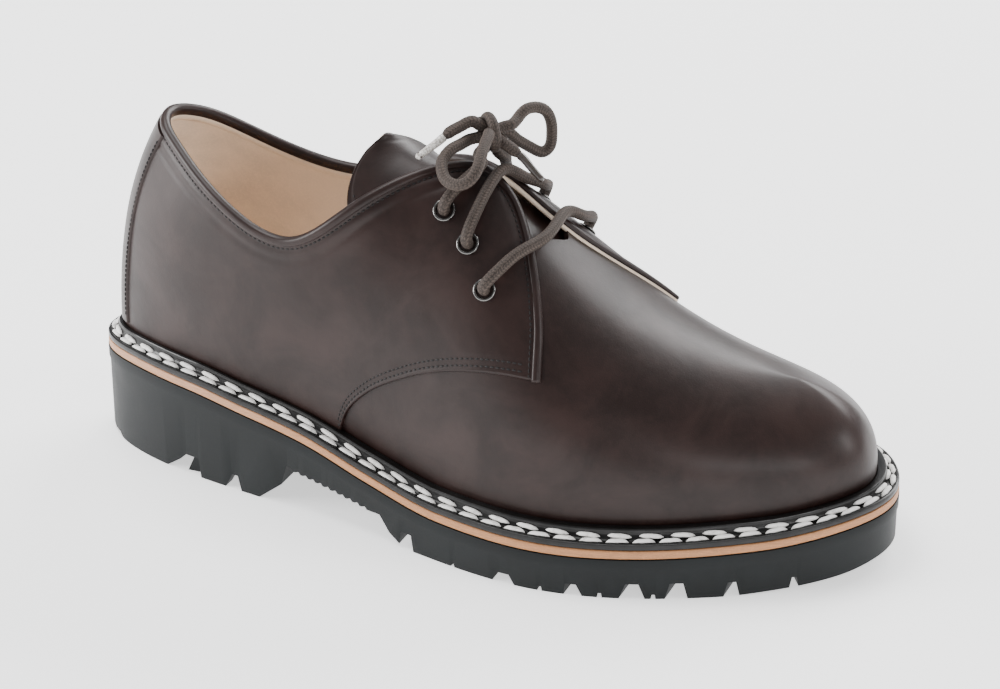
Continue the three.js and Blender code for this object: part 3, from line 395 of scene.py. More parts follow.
def wall_normal(station, share):
    middle = np.clip(share, 0.01, 0.99)
    along = last_surface(station + 0.03, middle) - last_surface(station - 0.03, middle)
    up = last_surface(station, middle + 0.01) - last_surface(station, middle - 0.01)
    return unit(np.cross(along, up))


def wall_point(station, share, out=0.0):
    """A point of the wall, out millimetres proud of the base surface."""
    away = wall_normal(station, share) * np.asarray(out, float)[..., None]
    return last_surface(station, share) + away


def share_at_rise(station, height):
    """The share of the wall at which it stands height above its foot."""
    turn = np.minimum(TURN(station), math.pi / 2)
    power = 2 / BOXY(station)
    whole = TOP_HEIGHT(station) - foot(station)[..., 2]
    sine = (height / whole) ** (1 / power) * np.sin(turn)
    return np.arcsin(np.minimum(sine, 1)) / turn


def on_path(rows, t):
    at = np.asarray(t) * (len(rows) - 1)
    steps = np.arange(len(rows), dtype=float)
    return [between(np.stack([steps, rows[:, k]], -1), at) for k in (0, 1)]


def quarter_at(side, a, b):
    """Station and share of the quarter: a from the heel to the facing, b from welt to collar."""
    front, facing = QUARTER_FRONT[side], FACING[side]
    bent = on_path(front, np.clip((a - FRONT_BEND) / (1 - FRONT_BEND), 0, 1))
    ahead = a >= FRONT_BEND
    bottom = [np.where(ahead, bent[0], front[0, 0] * a / FRONT_BEND), np.where(ahead, bent[1], 0)]
    top = [facing[-1, 0] * a, 1 + (facing[-1, 1] - 1) * a**8]
    right = on_path(facing, b)
    left = [0 * b, b]
    made = []
    for k in (0, 1):
        sides = (1 - b) * bottom[k] + b * top[k] + (1 - a) * left[k] + a * right[k]
        corners = (1 - a) * b * k + a * (1 - b) * facing[0, k] + a * b * facing[-1, k]
        made.append(sides - corners)
    return made[0], np.clip(made[1], 0, 1)


def smooth_path(points, step):
    """Points about a step apart on the smooth curve through the given ones."""
    points = np.asarray(points, float)
    count = len(points)
    gaps = np.sqrt(np.linalg.norm(np.diff(points, axis=0), axis=1))
    knots = np.append(0, np.cumsum(gaps))
    matrix, right = np.eye(count), np.zeros((count, 3))
    for k in range(1, count - 1):
        matrix[k, k - 1 : k + 2] = gaps[k - 1], 2 * (gaps[k - 1] + gaps[k]), gaps[k]
        ahead = (points[k + 1] - points[k]) / gaps[k]
        right[k] = 6 * (ahead - (points[k] - points[k - 1]) / gaps[k - 1])
    bend = np.linalg.solve(matrix, right)
    at = np.linspace(0, knots[-1], 60 * count)
    i = np.clip(np.searchsorted(knots, at, side="right") - 1, 0, count - 2)
    width = gaps[i][:, None]
    t = (at[:, None] - knots[i][:, None]) / width
    s = 1 - t
    curve = s * points[i] + t * points[i + 1]
    curve = curve + ((s**3 - s) * bend[i] + (t**3 - t) * bend[i + 1]) * width**2 / 6
    whole = lengths_along(curve)[-1]
    return at_lengths(curve, curve, np.linspace(0, whole, max(int(round(whole / step)), 2) + 1))


def lengths_along(curve):
    return np.concatenate([[0], np.cumsum(np.linalg.norm(np.diff(curve, axis=0), axis=1))])


def lengths_grid(points, axis):
    """The way along a grid's rows or columns from their first point."""
    gaps = np.linalg.norm(np.diff(points, axis=axis), axis=-1)
    start = np.zeros_like(np.take(gaps, [0], axis=axis))
    return np.concatenate([start, np.cumsum(gaps, axis=axis)], axis=axis)


def at_lengths(curve, values, at):
    """The values that a curve's points carry, at lengths along it."""
    along = lengths_along(curve)
    return np.stack([np.interp(at, along, values[:, k]) for k in range(values.shape[1])], -1)


def soften(curve, rounds):
    """Rounds the small corners of a curve, whose ends stay."""
    curve = curve.copy()
    for _ in range(rounds):
        curve[1:-1] = 0.5 * curve[1:-1] + 0.25 * (curve[:-2] + curve[2:])
    return curve


def rounded(distance, width):
    """0 at an edge and 1 from a width away on, over a quarter circle."""
    left = 1 - np.clip(distance / width, 0, 1)
    return np.sqrt(np.maximum(1 - left**2, 0))


def ditch(distance, middle, half, depth):
    """A soft trough at a distance from an edge."""
    return -depth * np.exp(-(((distance - middle) / half) ** 2))


def circle(count):
    """Angles evenly round a ring."""
    return 2 * np.pi * np.arange(count) / count


def round_path(side, up, angle, reach):
    """The way from each point of a path to its ring, by the path's side and up directions."""
    return (
        side[:, None] * (reach * np.cos(angle))[..., None]
        + up[:, None] * (reach * np.sin(angle))[..., None]
    )


def frames_along(path):
    """Tangent, side and up at each point of a path, without twist."""
    tangent = unit(np.gradient(path, axis=0))
    first = np.cross(tangent[0], (0.3, 0.2, 0.93))
    sides = [first / np.linalg.norm(first)]
    for k in range(1, len(path)):
        side = sides[-1] - tangent[k] * np.dot(sides[-1], tangent[k])
        sides.append(side / np.linalg.norm(side))
    side = np.array(sides)
    return tangent, side, np.cross(tangent, side)


def undulation(points):
    """Slow unevenness of hand-lasted leather, from -1 to 1."""
    x, y, z = points[..., 0], points[..., 1], points[..., 2]
    first = np.sin(x / 9.1 + 0.7 + np.sin(z / 13.3)) * np.sin(y / 11.7 + z / 17.1 + 1.9)
    second = np.sin(x / 16.3 - y / 12.1 + 2.3) * np.cos(z / 10.7 + x / 31.0)
    return 0.5 * (first + second)


# Mesh making


def quads(rows, columns, wrap_rows=False, wrap_columns=False):
    """Faces of a grid of rows x columns points."""
    i = np.arange(rows if wrap_rows else rows - 1)[:, None]
    j = np.arange(columns if wrap_columns else columns - 1)[None, :]
    k, m = (i + 1) % rows, (j + 1) % columns
    corners = [i * columns + j, k * columns + j, k * columns + m, i * columns + m]
    return np.stack(np.broadcast_arrays(*corners), -1).reshape(-1, 4)


@contextmanager
def edited(mesh):
    """The mesh as editable points and faces, written back at the end."""
    work = bmesh.new()
    work.from_mesh(mesh)
    yield work
    work.to_mesh(mesh)
    work.free()


# In metres: points nearer than WELD become one, and edges shorter than NO_LENGTH go
WELD = 0.004 * MM
NO_LENGTH = 1e-7


class Stock:
    """Points, faces and finishes gathered for one piece."""

    def __init__(self):
        self.points, self.faces, self.slots, self.values = [], [], [], []
        self.count = 0

    def put(self, points, faces, slot=0, value=None):
        points = np.asarray(points, float).reshape(-1, 3)
        self.faces.extend((np.asarray(faces) + self.count).tolist())
        self.slots.extend([slot] * len(faces))
        self.points.append(points)
        given = np.zeros(len(points)) if value is None else np.asarray(value, float).ravel()
        self.values.append(given)
        self.count += len(points)

    def grid(self, points, wrap_rows=False, wrap_columns=False, slot=0, value=None):
        rows, columns = points.shape[:2]
        self.put(points, quads(rows, columns, wrap_rows, wrap_columns), slot, value)

    def shell(self, outer, inner, open_end=False, rim_slot=0):
        """A sheet with two faces and closed rims. An open end is where it meets its own other side."""
        self.grid(outer)
        self.grid(inner[:, ::-1], slot=1)
        rims = [
            np.stack([inner[:, 0], outer[:, 0]], 1),
            np.stack([outer[:, -1], inner[:, -1]], 1),
            np.stack([outer[0], inner[0]], 1),
        ]
        if not open_end:
            rims.append(np.stack([inner[-1], outer[-1]], 1))
        for rim in rims:
            self.grid(rim, slot=rim_slot)

    def sweep(self, rings, value=None):
        """A run of closed rings with its two ends closed."""
        self.grid(rings, wrap_columns=True, value=value)
        for ring in (rings[0][::-1], rings[-1]):
            self.put(ring, [list(range(rings.shape[1]))])

    def make(self, name, finishes, replaces, sharp=50):
        """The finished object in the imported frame."""
        points = (np.concatenate(self.points) + TO_FRAME) * MM
        mesh = bpy.data.meshes.new(name)
        mesh.from_pydata(points.tolist(), [], self.faces)
        mesh.polygons.foreach_set("material_index", self.slots)
        # The value that each mesh carries: a braid's height, which paints shade and highlight on the
        # lace, a stitch's random tone, or an aglet's painted light and shade
        shade = mesh.attributes.new("relief", "FLOAT", "POINT")
        shade.data.foreach_set("value", np.concatenate(self.values))
        with edited(mesh) as work:
            bmesh.ops.remove_doubles(work, verts=work.verts, dist=WELD)
            bmesh.ops.dissolve_degenerate(work, edges=work.edges, dist=NO_LENGTH)
            bmesh.ops.recalc_face_normals(work, faces=work.faces)
        return settle(name, mesh, finishes, replaces, sharp)


def settle(name, mesh, finishes, replaces, sharp):
    """Puts a mesh into the scene as a piece of the shoe."""
    for finish in finishes:
        mesh.materials.append(finish_of(finish))
    mesh.shade_smooth()
    if sharp:
        mesh.set_sharp_from_angle(angle=math.radians(sharp))
    piece = bpy.data.objects.new(name, mesh)
    bpy.context.scene.collection.objects.link(piece)
    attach(piece, "root")
    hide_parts(*replaces)
    return piece


class Skin:
    """A dense surface that seams and threads are laid on."""

    def __init__(self, points):
        rows, columns = points.shape[:2]
        corners = [Vector(p) for p in points.reshape(-1, 3)]
        self.tree = BVHTree.FromPolygons(corners, quads(rows, columns).tolist())

    def lay(self, points):
        """The nearest points of the surface and its normals there."""
        found = [self.tree.find_nearest(Vector(p)) for p in points]
        places = np.array([f[0] for f in found])
        normals = np.array([f[1] for f in found])
        return places, normals


# A thread's mesh: its rings and sides, how blunt and thin its ends are, its twist's depth and turn
STITCH_RINGS = 9
STITCH_SIDES = 8
BLUNT = 2.6
LEAST_WIDTH = 0.012
TWIST_DEPTH = 0.07
TWIST_TURN = 2.2


def stitches(
    stock, path, normals, pitch, share, width, height, slant=0.0, sink=0.35, ply=2, start=0.5
):
    """Threads laid end to end along a seam, each dipping into the leather at both ends.

    A thread takes up a share of the pitch. Its finish carries a tone of its own.
    """
    whole = lengths_along(path)[-1]
    count = max(int(round(whole / pitch)), 1)
    middle = (np.arange(count) + start) * whole / count
    t = np.linspace(-1, 1, STITCH_RINGS)
    at = np.clip(middle[:, None] + t * (pitch * share) / 2, 0, whole).ravel()
    centre = at_lengths(path, path, at).reshape(count, STITCH_RINGS, 3)
    up = unit(at_lengths(path, normals, at)).reshape(count, STITCH_RINGS, 3)
    along = unit(np.gradient(centre, axis=1))
    side = unit(np.cross(up, along))
    full = np.sqrt(np.maximum(1 - np.abs(t) ** BLUNT, LEAST_WIDTH))
    angle = circle(STITCH_SIDES)
    twist = 1 + TWIST_DEPTH * np.cos(ply * (angle[None, :] - TWIST_TURN * t[:, None]))
    reach = 0.5 * width * full[:, None] * twist
    rise = 0.5 * height * full[:, None] * twist
    lift = height * (0.5 - sink) - 0.5 * height * np.abs(t) ** 4
    shift = slant * t
    ring = (
        centre[:, :, None, :]
        + side[:, :, None, :] * (reach * np.cos(angle) + shift[:, None])[None, :, :, None]
        + up[:, :, None, :] * (rise * np.sin(angle) + lift[:, None])[None, :, :, None]
    )
    for number in range(count):
        stock.sweep(ring[number], np.full(STITCH_RINGS * STITCH_SIDES, scattered(number)))


def scattered(number):
    """An uneven value from 0 to 1 that is always the same for the same number."""
    wander = np.sin(number * 12.9898) * 43758.5453
    return wander - np.floor(wander)


# Materials


class Number:
    """A number in a material that Python's own operators work on."""

    def __init__(self, finish, socket):
        self.finish, self.socket = finish, socket

    def _math(self, operation, *values):
        inputs = dict(enumerate(values))
        node = self.finish.node("ShaderNodeMath", {"operation": operation}, inputs)
        return Number(self.finish, node.outputs[0])

    def __add__(self, other):
        return self._math("ADD", self, other)

    def __sub__(self, other):
        return self._math("SUBTRACT", self, other)

    def __rsub__(self, other):
        return self._math("SUBTRACT", other, self)

    def __mul__(self, other):
        return self._math("MULTIPLY", self, other)

    def __truediv__(self, other):
        return self._math("DIVIDE", self, other)

    def __pow__(self, other):
        return self._math("POWER", self, other)

    __radd__ = __add__
    __rmul__ = __mul__

    def above(self, low, high):
        """0 below low, 1 above high, smooth between."""
        settings = {"interpolation_type": "SMOOTHSTEP"}
        inputs = {"Value": self, "From Min": low, "From Max": high}
        node = self.finish.node("ShaderNodeMapRange", settings, inputs)
        return Number(self.finish, node.outputs[0])


class Finish:
    """One procedural material, built on a Principled shader."""

    def __init__(self, name, **constants):
        self.material = bpy.data.materials.new(name)
        self.material.use_nodes = True
        self.nodes = self.material.node_tree.nodes
        self.links = self.material.node_tree.links
        self.shader = self.nodes["Principled BSDF"]
        self.set(**constants)
        self.place = self.node("ShaderNodeTexCoord").outputs["Object"]

    def set(self, **values):
        for name, value in values.items():
            self._feed(self.shader.inputs[name.replace("_", " ")], value)

    def _feed(self, socket, value):
        if isinstance(value, Number):
            value = value.socket
        if isinstance(value, bpy.types.NodeSocket):
            self.links.new(value, socket)
        elif hasattr(value, "__len__") and len(value) == 3 and len(socket.default_value) == 4:
            socket.default_value = (*value, 1)
        else:
            socket.default_value = value

    def node(self, kind, settings=None, inputs=None):
        """Any node: its type, its settings, which are set first, and its sockets' values or links."""
        node = self.nodes.new(kind)
        for name, value in (settings or {}).items():
            setattr(node, name, value)
        for name, value in (inputs or {}).items():
            self._feed(node.inputs[name], value)
        return node

    def relief(self):
        """The value that the mesh carries."""
        node = self.node("ShaderNodeAttribute", {"attribute_name": "relief"})
        return Number(self, node.outputs["Fac"])

    def along(self):
        """The place along the shoe, in metres."""
        node = self.node("ShaderNodeSeparateXYZ", {}, {"Vector": self.place})
        return Number(self, node.outputs["X"])

    def noise(self, size, detail, rough, stretch=(1, 1, 1), warp=0.0):
        """Soft noise with blots of about the given size in millimetres."""
        where = self.node("ShaderNodeMapping", {}, {"Vector": self.place, "Scale": stretch})
        inputs = {
            "Vector": where.outputs[0],
            "Scale": 1000 / size,
            "Detail": detail,
            "Roughness": rough,
            "Distortion": warp,
        }
        node = self.node("ShaderNodeTexNoise", {}, inputs)
        return Number(self, node.outputs[0])

    def cells(self, size, feature="F1"):
        """Cells of about the given size in millimetres: the distance from their middles or edges."""
        inputs = {"Vector": self.place, "Scale": 1000 / size}
        node = self.node("ShaderNodeTexVoronoi", {"feature": feature}, inputs)
        return Number(self, node.outputs["Distance"])

    def mix(self, factor, first, second):
        """Two colours, the second where factor is 1."""
        settings = {"data_type": "RGBA", "clamp_factor": True}
        node = self.node("ShaderNodeMix", settings, {0: factor, 6: first, 7: second})
        return node.outputs[2]

    def bump(self, height, depth, strength, below=None):
        """Turns a height from 0 to 1 into a normal, depth millimetres deep."""
        inputs = {"Height": height, "Distance": depth * MM, "Strength": strength}
        if below is not None:
            inputs["Normal"] = below
        return self.node("ShaderNodeBump", {}, inputs).outputs[0]


def scaled(color, by):
    return tuple(channel * by for channel in color)


def upper_leather(settings):
    """Smooth polished leather with fine pores, shallow creases and faint clouding."""
    made = Finish("upper_leather", Specular_IOR_Level=0.22, Coat_Roughness=0.3, Coat_IOR=1.4)
    dark, light, lightest = (scaled(settings.leather, by) for by in (0.72, 1.3, 1.5))
    clouds = made.noise(26, 4, 0.6, warp=0.5)
    fine = made.noise(3.5, 3, 0.6)
    base = made.mix(clouds.above(0.35, 0.7), dark, light)
    color = made.mix(fine.above(0.45, 0.75) * 0.25, base, lightest)
    pores = made.cells(0.55)
    grain = made.noise(0.8, 2, 0.5)
    creases = made.cells(1.6, "DISTANCE_TO_EDGE")
    fine_grain = grain * 0.5 + pores.above(0.0, 0.5) * 0.35 + creases.above(0.0, 0.12) * 0.15
    soft = made.bump(made.noise(11, 3, 0.5), 0.6, 0.3)
    made.set(
        Base_Color=color,
        Roughness=settings.leather_roughness + (clouds - 0.5) * 0.12 + (fine - 0.5) * 0.1,
        Coat_Weight=0.24 + (clouds - 0.5) * 0.5,
        Normal=made.bump(fine_grain, 0.06, 0.55, soft),
    )
    return made.material


def lining_leather(settings):
    """Undyed lining leather, matt, with a faint nap and handling marks."""
    made = Finish("lining_leather", Specular_IOR_Level=0.3)
    blots = made.noise(22, 3, 0.6, warp=0.6)
    fibres = made.noise(0.9, 3, 0.7)
    base = made.mix(blots.above(0.3, 0.75), settings.lining, scaled(settings.lining, 0.84))
    made.set(
        Base_Color=made.mix(fibres.above(0.4, 0.7) * 0.35, base, scaled(settings.lining, 1.12)),
        Roughness=0.68 + (fibres - 0.5) * 0.2,
        Normal=made.bump(fibres * 0.6 + made.cells(0.7) * 0.4, 0.1, 0.5),
    )
    return made.material


def edge_leather(settings):
    """The trimmed edge of the tan midsole: pressed fibres in thin lengthwise lines."""
    made = Finish("midsole_edge", Specular_IOR_Level=0.4)
    layers = made.noise(5, 3, 0.6, stretch=(1, 1, 14))
    fibres = made.noise(0.8, 2, 0.6, stretch=(1, 1, 3))
    # The tan turns lighter towards the heel
    tan_to_heel = made.mix(made.along().above(-0.02, -0.1), settings.midsole, settings.midsole_heel)
    dark = made.mix(0.35, tan_to_heel, scaled(settings.midsole, 0.3))
    base = made.mix(layers.above(0.35, 0.7), dark, tan_to_heel)
    made.set(
        Base_Color=made.mix(fibres.above(0.5, 0.75) * 0.5, base, scaled(settings.midsole, 1.5)),
        Roughness=0.5 + (fibres - 0.5) * 0.2,
        Normal=made.bump(layers * 0.6 + fibres * 0.4, 0.18, 0.5),
    )
    return made.material


def welt_leather(settings):
    """Black waxed welt leather."""
    made = Finish("welt_leather", Specular_IOR_Level=0.2, Coat_Roughness=0.14)
    grain = made.noise(1.1, 3, 0.6)
    worn = made.noise(7, 3, 0.6)
    color = made.mix(worn.above(0.45, 0.8) * 0.6, settings.welt, scaled(settings.welt, 2.2))
    made.set(
        Base_Color=color,
        Roughness=0.42 + (worn - 0.5) * 0.2,
        Coat_Weight=0.3 + (worn - 0.5) * 0.6,
        Normal=made.bump(grain * 0.7 + made.cells(0.8) * 0.3, 0.12, 0.5),
    )
    return made.material


def sole_rubber(settings):
    """Moulded rubber, matt with a slight bloom."""
    made = Finish("sole_rubber", Specular_IOR_Level=0.2)
    bloom = made.noise(16, 3, 0.6, warp=0.5)
    fine = made.noise(0.5, 2, 0.6)
    made.set(
        Base_Color=made.mix(bloom.above(0.35, 0.75), settings.rubber, scaled(settings.rubber, 1.45)),
        Roughness=0.52 + (bloom - 0.5) * 0.15 + (fine - 0.5) * 0.1,
        Normal=made.bump(fine, 0.05, 0.5),
    )
    return made.material


def waxed_thread(settings):
    """Thick waxed welt thread, off-white with grey rubbed places."""
    made = Finish("welt_thread", Specular_IOR_Level=0.4)
    rubbed = made.noise(2.6, 3, 0.65)
    tone = made.relief()
    base = made.mix(rubbed.above(0.5, 0.75), settings.thread, scaled(settings.thread, 0.6))
    made.set(
        Base_Color=made.mix(tone * 0.25, base, scaled(settings.thread, 0.8)),
        Roughness=0.55 + (rubbed - 0.5) * 0.3,
        Normal=made.bump(made.noise(0.7, 2, 0.6, stretch=(1, 1, 2)), 0.15, 0.6),
    )
    return made.material


def seam_thread(settings):
    """Fine dark thread of the upper's seams."""
    made = Finish("seam_thread", Specular_IOR_Level=0.35)
    fibres = made.noise(0.5, 2, 0.6)
    made.set(
        Base_Color=made.mix(fibres.above(0.4, 0.7), settings.seam, scaled(settings.seam, 2.0)),
        Roughness=0.6 + (fibres - 0.5) * 0.2,
        Normal=made.bump(fibres, 0.05, 0.4),
    )
    return made.material


def lace_braid(settings):
    """Braided cord with loose fibres, painted dark between its strands as painted shade and pale on its
    raised stripes as painted highlight.
    """
    made = Finish("lace_braid", Specular_IOR_Level=0.3)
    high = made.relief()
    fibres = made.noise(0.35, 2, 0.6)
    # Low places of the braid are painted dark as painted shade, high ones pale as painted highlight
    base = made.mix(high.above(0.1, 0.85), scaled(settings.lace, 0.3), settings.lace)
    color = made.mix(fibres.above(0.45, 0.75) * 0.55, base, scaled(settings.lace, 1.9))
    made.set(
        Base_Color=color,
        Roughness=0.7 + (fibres - 0.5) * 0.3,
        Normal=made.bump(fibres, 0.08, 0.7),
    )
    return made.material


def nickel(settings):
    """Dark nickel, slightly scratched."""
    made = Finish("dark_nickel", Metallic=1.0, Specular_IOR_Level=0.5)
    scratches = made.noise(0.6, 3, 0.7, stretch=(1, 4, 1))
    color = made.mix(scratches.above(0.4, 0.7), settings.metal, scaled(settings.metal, 1.3))
    made.set(Base_Color=color, Roughness=0.24 + (scratches - 0.5) * 0.2)
    return made.material


def tip_plastic(settings):
    """Clear plastic over the lace's end, painted pale on the left aglet as painted light and dark on
    the right one as painted shade.
    """
    made = Finish("tip_plastic", Specular_IOR_Level=0.6, Coat_Weight=0.6, Coat_Roughness=0.08)
    fibres = made.noise(0.7, 3, 0.7)
    clear = made.mix(fibres.above(0.4, 0.6), (0.3, 0.27, 0.24), (0.72, 0.69, 0.65))
    # The mesh's value paints the left aglet pale as painted light and the right one dark as painted
    # shade
    color = made.mix(made.relief(), scaled(settings.lace, 0.5), clear)
    made.set(Base_Color=color, Roughness=0.3 + (fibres - 0.5) * 0.2)
    return made.material


def stage_floor(settings):
    """Plain pale floor that glows, so that it stays white under soft light."""
    made = Finish(
        "floor_paint", Specular_IOR_Level=0.1, Emission_Color=(1, 1, 1), Emission_Strength=1.0
    )
    speck = made.noise(60, 2, 0.5)
    made.set(
        Base_Color=made.mix(speck, settings.floor, scaled(settings.floor, 0.99)),
        Roughness=0.75 + (speck - 0.5) * 0.05,
    )
    return made.material


MATERIALS = {
    "leather": upper_leather,
    "lining": lining_leather,
    "midsole": edge_leather,
    "welt": welt_leather,
    "rubber": sole_rubber,
    "thread": waxed_thread,
    "seam": seam_thread,
    "lace": lace_braid,
    "nickel": nickel,
    "tip": tip_plastic,
    "floor": stage_floor,
}


@cache
def finish_of(name):
    """The named material, made when it is first wanted."""
    return MATERIALS[name](bpy.context.scene.shoe_colours)


# Settings


class ShoeColours(bpy.types.PropertyGroup):
    """Colours and gloss of the shoe's finishes."""

    leather: FloatVectorProperty(
        name="Leather", description="Colour of the upper", subtype="COLOR",
        default=(0.0175, 0.0078, 0.0063),
    )
    leather_roughness: FloatProperty(
        name="Leather roughness", description="Lower is more polished", default=0.45, min=0, max=1,
    )
    lining: FloatVectorProperty(
        name="Lining", description="Colour of the lining", subtype="COLOR",
        default=(0.93, 0.76, 0.6),
    )
    midsole: FloatVectorProperty(
        name="Midsole", description="Colour of the tan layer", subtype="COLOR",
        default=(0.5, 0.23, 0.1),
    )
    midsole_heel: FloatVectorProperty(
        name="Midsole at the heel", description="Colour of the tan layer's heel", subtype="COLOR",
        default=(0.56, 0.3, 0.17),
    )
    welt: FloatVectorProperty(
        name="Welt", description="Colour of the welt", subtype="COLOR",
        default=(0.0035, 0.0031, 0.003),
    )
    rubber: FloatVectorProperty(
        name="Rubber", description="Colour of the sole", subtype="COLOR",
        default=(0.0055, 0.0068, 0.0072),
    )
    thread: FloatVectorProperty(
        name="Welt thread", description="Colour of the welt's stitches", subtype="COLOR",
        default=(0.93, 0.91, 0.88),
    )
    seam: FloatVectorProperty(
        name="Seam thread", description="Colour of the upper's stitches", subtype="COLOR",
        default=(0.004, 0.0027, 0.0025),
    )
    lace: FloatVectorProperty(
        name="Lace", description="Colour of the lace", subtype="COLOR",
        default=(0.078, 0.058, 0.048),
    )
    metal: FloatVectorProperty(
        name="Eyelets", description="Colour of the eyelets", subtype="COLOR",
        default=(0.16, 0.155, 0.15),
    )
    floor: FloatVectorProperty(
        name="Floor", description="Colour of the floor", subtype="COLOR",
        default=(0.95, 0.95, 0.95),
    )


class ShoeStitching(bpy.types.PropertyGroup):
    """Sizes of the stitches, in millimetres."""

    welt_outer_pitch: FloatProperty(
        name="Outer pitch", description="Length of an outer welt stitch with its gap",
        default=8.73, min=3,
    )
    welt_inner_pitch: FloatProperty(
        name="Inner pitch", description="Length of an inner welt stitch with its gap",
        default=10.3, min=3,
    )
    seam_pitch: FloatProperty(
        name="Seam pitch", description="Length of a seam stitch with its gap",
        default=1.9, min=1,
    )


class ShoeLaceSizes(bpy.types.PropertyGroup):
    """The lace's braid."""

    wales: IntProperty(
        name="Wales", description="Columns of the braid round the lace", default=12, min=4, max=16
    )
    pitch: FloatProperty(
        name="Braid pitch", description="Length of one chevron in millimetres", default=1.1, min=0.5
    )


class ShoeStage(bpy.types.PropertyGroup):
    """Camera and light."""

    distance: FloatProperty(
        name="Distance", description="From the camera to the shoe", default=1.0, unit="LENGTH"
    )
    key: FloatProperty(
        name="Key light", description="Strength that the lamps share", default=30.0, min=0
    )
    world: FloatProperty(name="Surround", description="Strength of the surround", default=0.42, min=0)


# The stage


CAMERA_TURN = math.radians(22.69)
CAMERA_RISE = math.radians(26.24)
CAMERA_ROLL = math.radians(0.1)
CAMERA_AIM = Vector((0.004, 0.0028, 0.045))
FOCAL_PIXELS = 2919.0
IMAGE_WIDTH = 1000.0
SENSOR = 36.0
SHIFT_PIXELS = (7.34, 31.24)
NEAR_AND_FAR = (0.05, 20)

FLOOR_REACH = 6.0
LIGHTS_AIM = Vector((0, 0, 0.05))
SKY = (0.95, 0.97, 1.0, 1)

# The lamps: name, place, size and share of the key strength
LAMPS = [
    ("left", (-1.3, -0.55, 0.42), (0.8, 0.5), 0.8),
    ("front", (0.98, -0.86, 0.36), (0.35, 0.3), 0.1),
    ("top", (-0.55, 0.2, 1.6), (1.2, 1.0), 1.0),
    ("back", (0.35, 1.3, 0.95), (1.3, 0.6), 0.9),
    ("toe", (1.4, 0.1, 0.65), (0.35, 0.5), 0.22),
]


class SHOE_OT_stage(bpy.types.Operator):
    """Sets up the camera, the lights and the floor"""

    bl_idname = "shoe.stage"
    bl_label = "Stage"

    def execute(self, context):
        settings = context.scene.shoe_stage
        self.camera(context, settings)
        self.floor(context)
        self.lights(context, settings)
        return {"FINISHED"}

    def camera(self, context, settings):
        right = Vector((math.cos(CAMERA_TURN), math.sin(CAMERA_TURN), 0))
        flat, rise = math.cos(CAMERA_RISE), math.sin(CAMERA_RISE)
        back = Vector((math.sin(CAMERA_TURN) * flat, -math.cos(CAMERA_TURN) * flat, rise))
        up = back.cross(right)
        level = right * math.cos(CAMERA_ROLL) - up * math.sin(CAMERA_ROLL)
        upright = right * math.sin(CAMERA_ROLL) + up * math.cos(CAMERA_ROLL)
        lens = bpy.data.cameras.new("camera")
        lens.sensor_width = SENSOR
        lens.lens = SENSOR * FOCAL_PIXELS / IMAGE_WIDTH
        lens.shift_x, lens.shift_y = (pixels / IMAGE_WIDTH for pixels in SHIFT_PIXELS)
        lens.clip_start, lens.clip_end = NEAR_AND_FAR
        camera = bpy.data.objects.new("camera", lens)
        context.scene.collection.objects.link(camera)
        place = Matrix((level, upright, back)).transposed().to_4x4()
        place.translation = CAMERA_AIM + back * settings.distance
        camera.matrix_world = place
        context.scene.camera = camera

    def floor(self, context):
        mesh = bpy.data.meshes.new("floor")
        corners = [(-1, -1, 0), (1, -1, 0), (1, 1, 0), (-1, 1, 0)]
        mesh.from_pydata([Vector(corner) * FLOOR_REACH for corner in corners], [], [(0, 1, 2, 3)])
        mesh.materials.append(finish_of("floor"))
        floor = bpy.data.objects.new("floor", mesh)
        context.scene.collection.objects.link(floor)

    def lights(self, context, settings):
        for name, place, size, share in LAMPS:
            lamp = bpy.data.lights.new(name, "AREA")
            lamp.shape = "RECTANGLE"
            lamp.size, lamp.size_y = size
            lamp.energy = settings.key * share
            light = bpy.data.objects.new(name, lamp)
            context.scene.collection.objects.link(light)
            light.location = place
            way = LIGHTS_AIM - light.location
            light.rotation_euler = way.to_track_quat("-Z", "Y").to_euler()
        world = bpy.data.worlds.new("surround")
        world.use_nodes = True
        background = world.node_tree.nodes["Background"]
        background.inputs["Color"].default_value = SKY
        background.inputs["Strength"].default_value = settings.world
        context.scene.world = world


# The lace


# Places on the way from the knot's middle to its surface where strands start, as shares of it
LOOP_START = 0.4
TAIL_START = 0.45
END_STARTS = (-0.95, -0.7, 0.4)
# How far a strand's second point is outside the knot, in laces
STRAND_OUT = 0.6


def leaving(name):
    """Two points with which a strand leaves the knot, from its middle outward."""
    normal = unit(np.array(LEAVES[name], float))
    reach = normal * KNOT_HALF
    surface = reach * KNOT_HALF / np.linalg.norm(reach)
    return [surface + normal * gap + KNOT_MIDDLE for gap in (CLEAR, STRAND_OUT * LACE)]


def inside_knot(name, share):
    """A point on the way from the knot's middle to where the strand leaves."""
    return KNOT_MIDDLE + (leaving(name)[0] - KNOT_MIDDLE) * share


def from_knot(rows):
    return [np.array(row) * BOW + KNOT_MIDDLE for row in rows]


def run_points(name):
    points = []
    for side, station, share, lift in LACE_RUNS[name]:
        turned = station if side == "lateral" else ROUND - station
        points.append(wall_point(turned, share, QUARTER_STEP + lift * LACE))
    if name in LEAVES:
        points += leaving(name)[::-1] + [inside_knot(name, TAIL_START)]
    return points


# The braid: points across a wale, slant of its chevrons, radius of its low and more of its high
# places as shares of the lace's, and the share of height that three wales in four keep, which also
# paints them darker so that every fourth wale shows as a stripe of painted highlight
POINTS_PER_WALE = 5
CHEVRON_SLANT = 0.28
BRAID_LOW = 0.95
BRAID_HIGH = 0.07
STRIPE_SHADE = 0.6


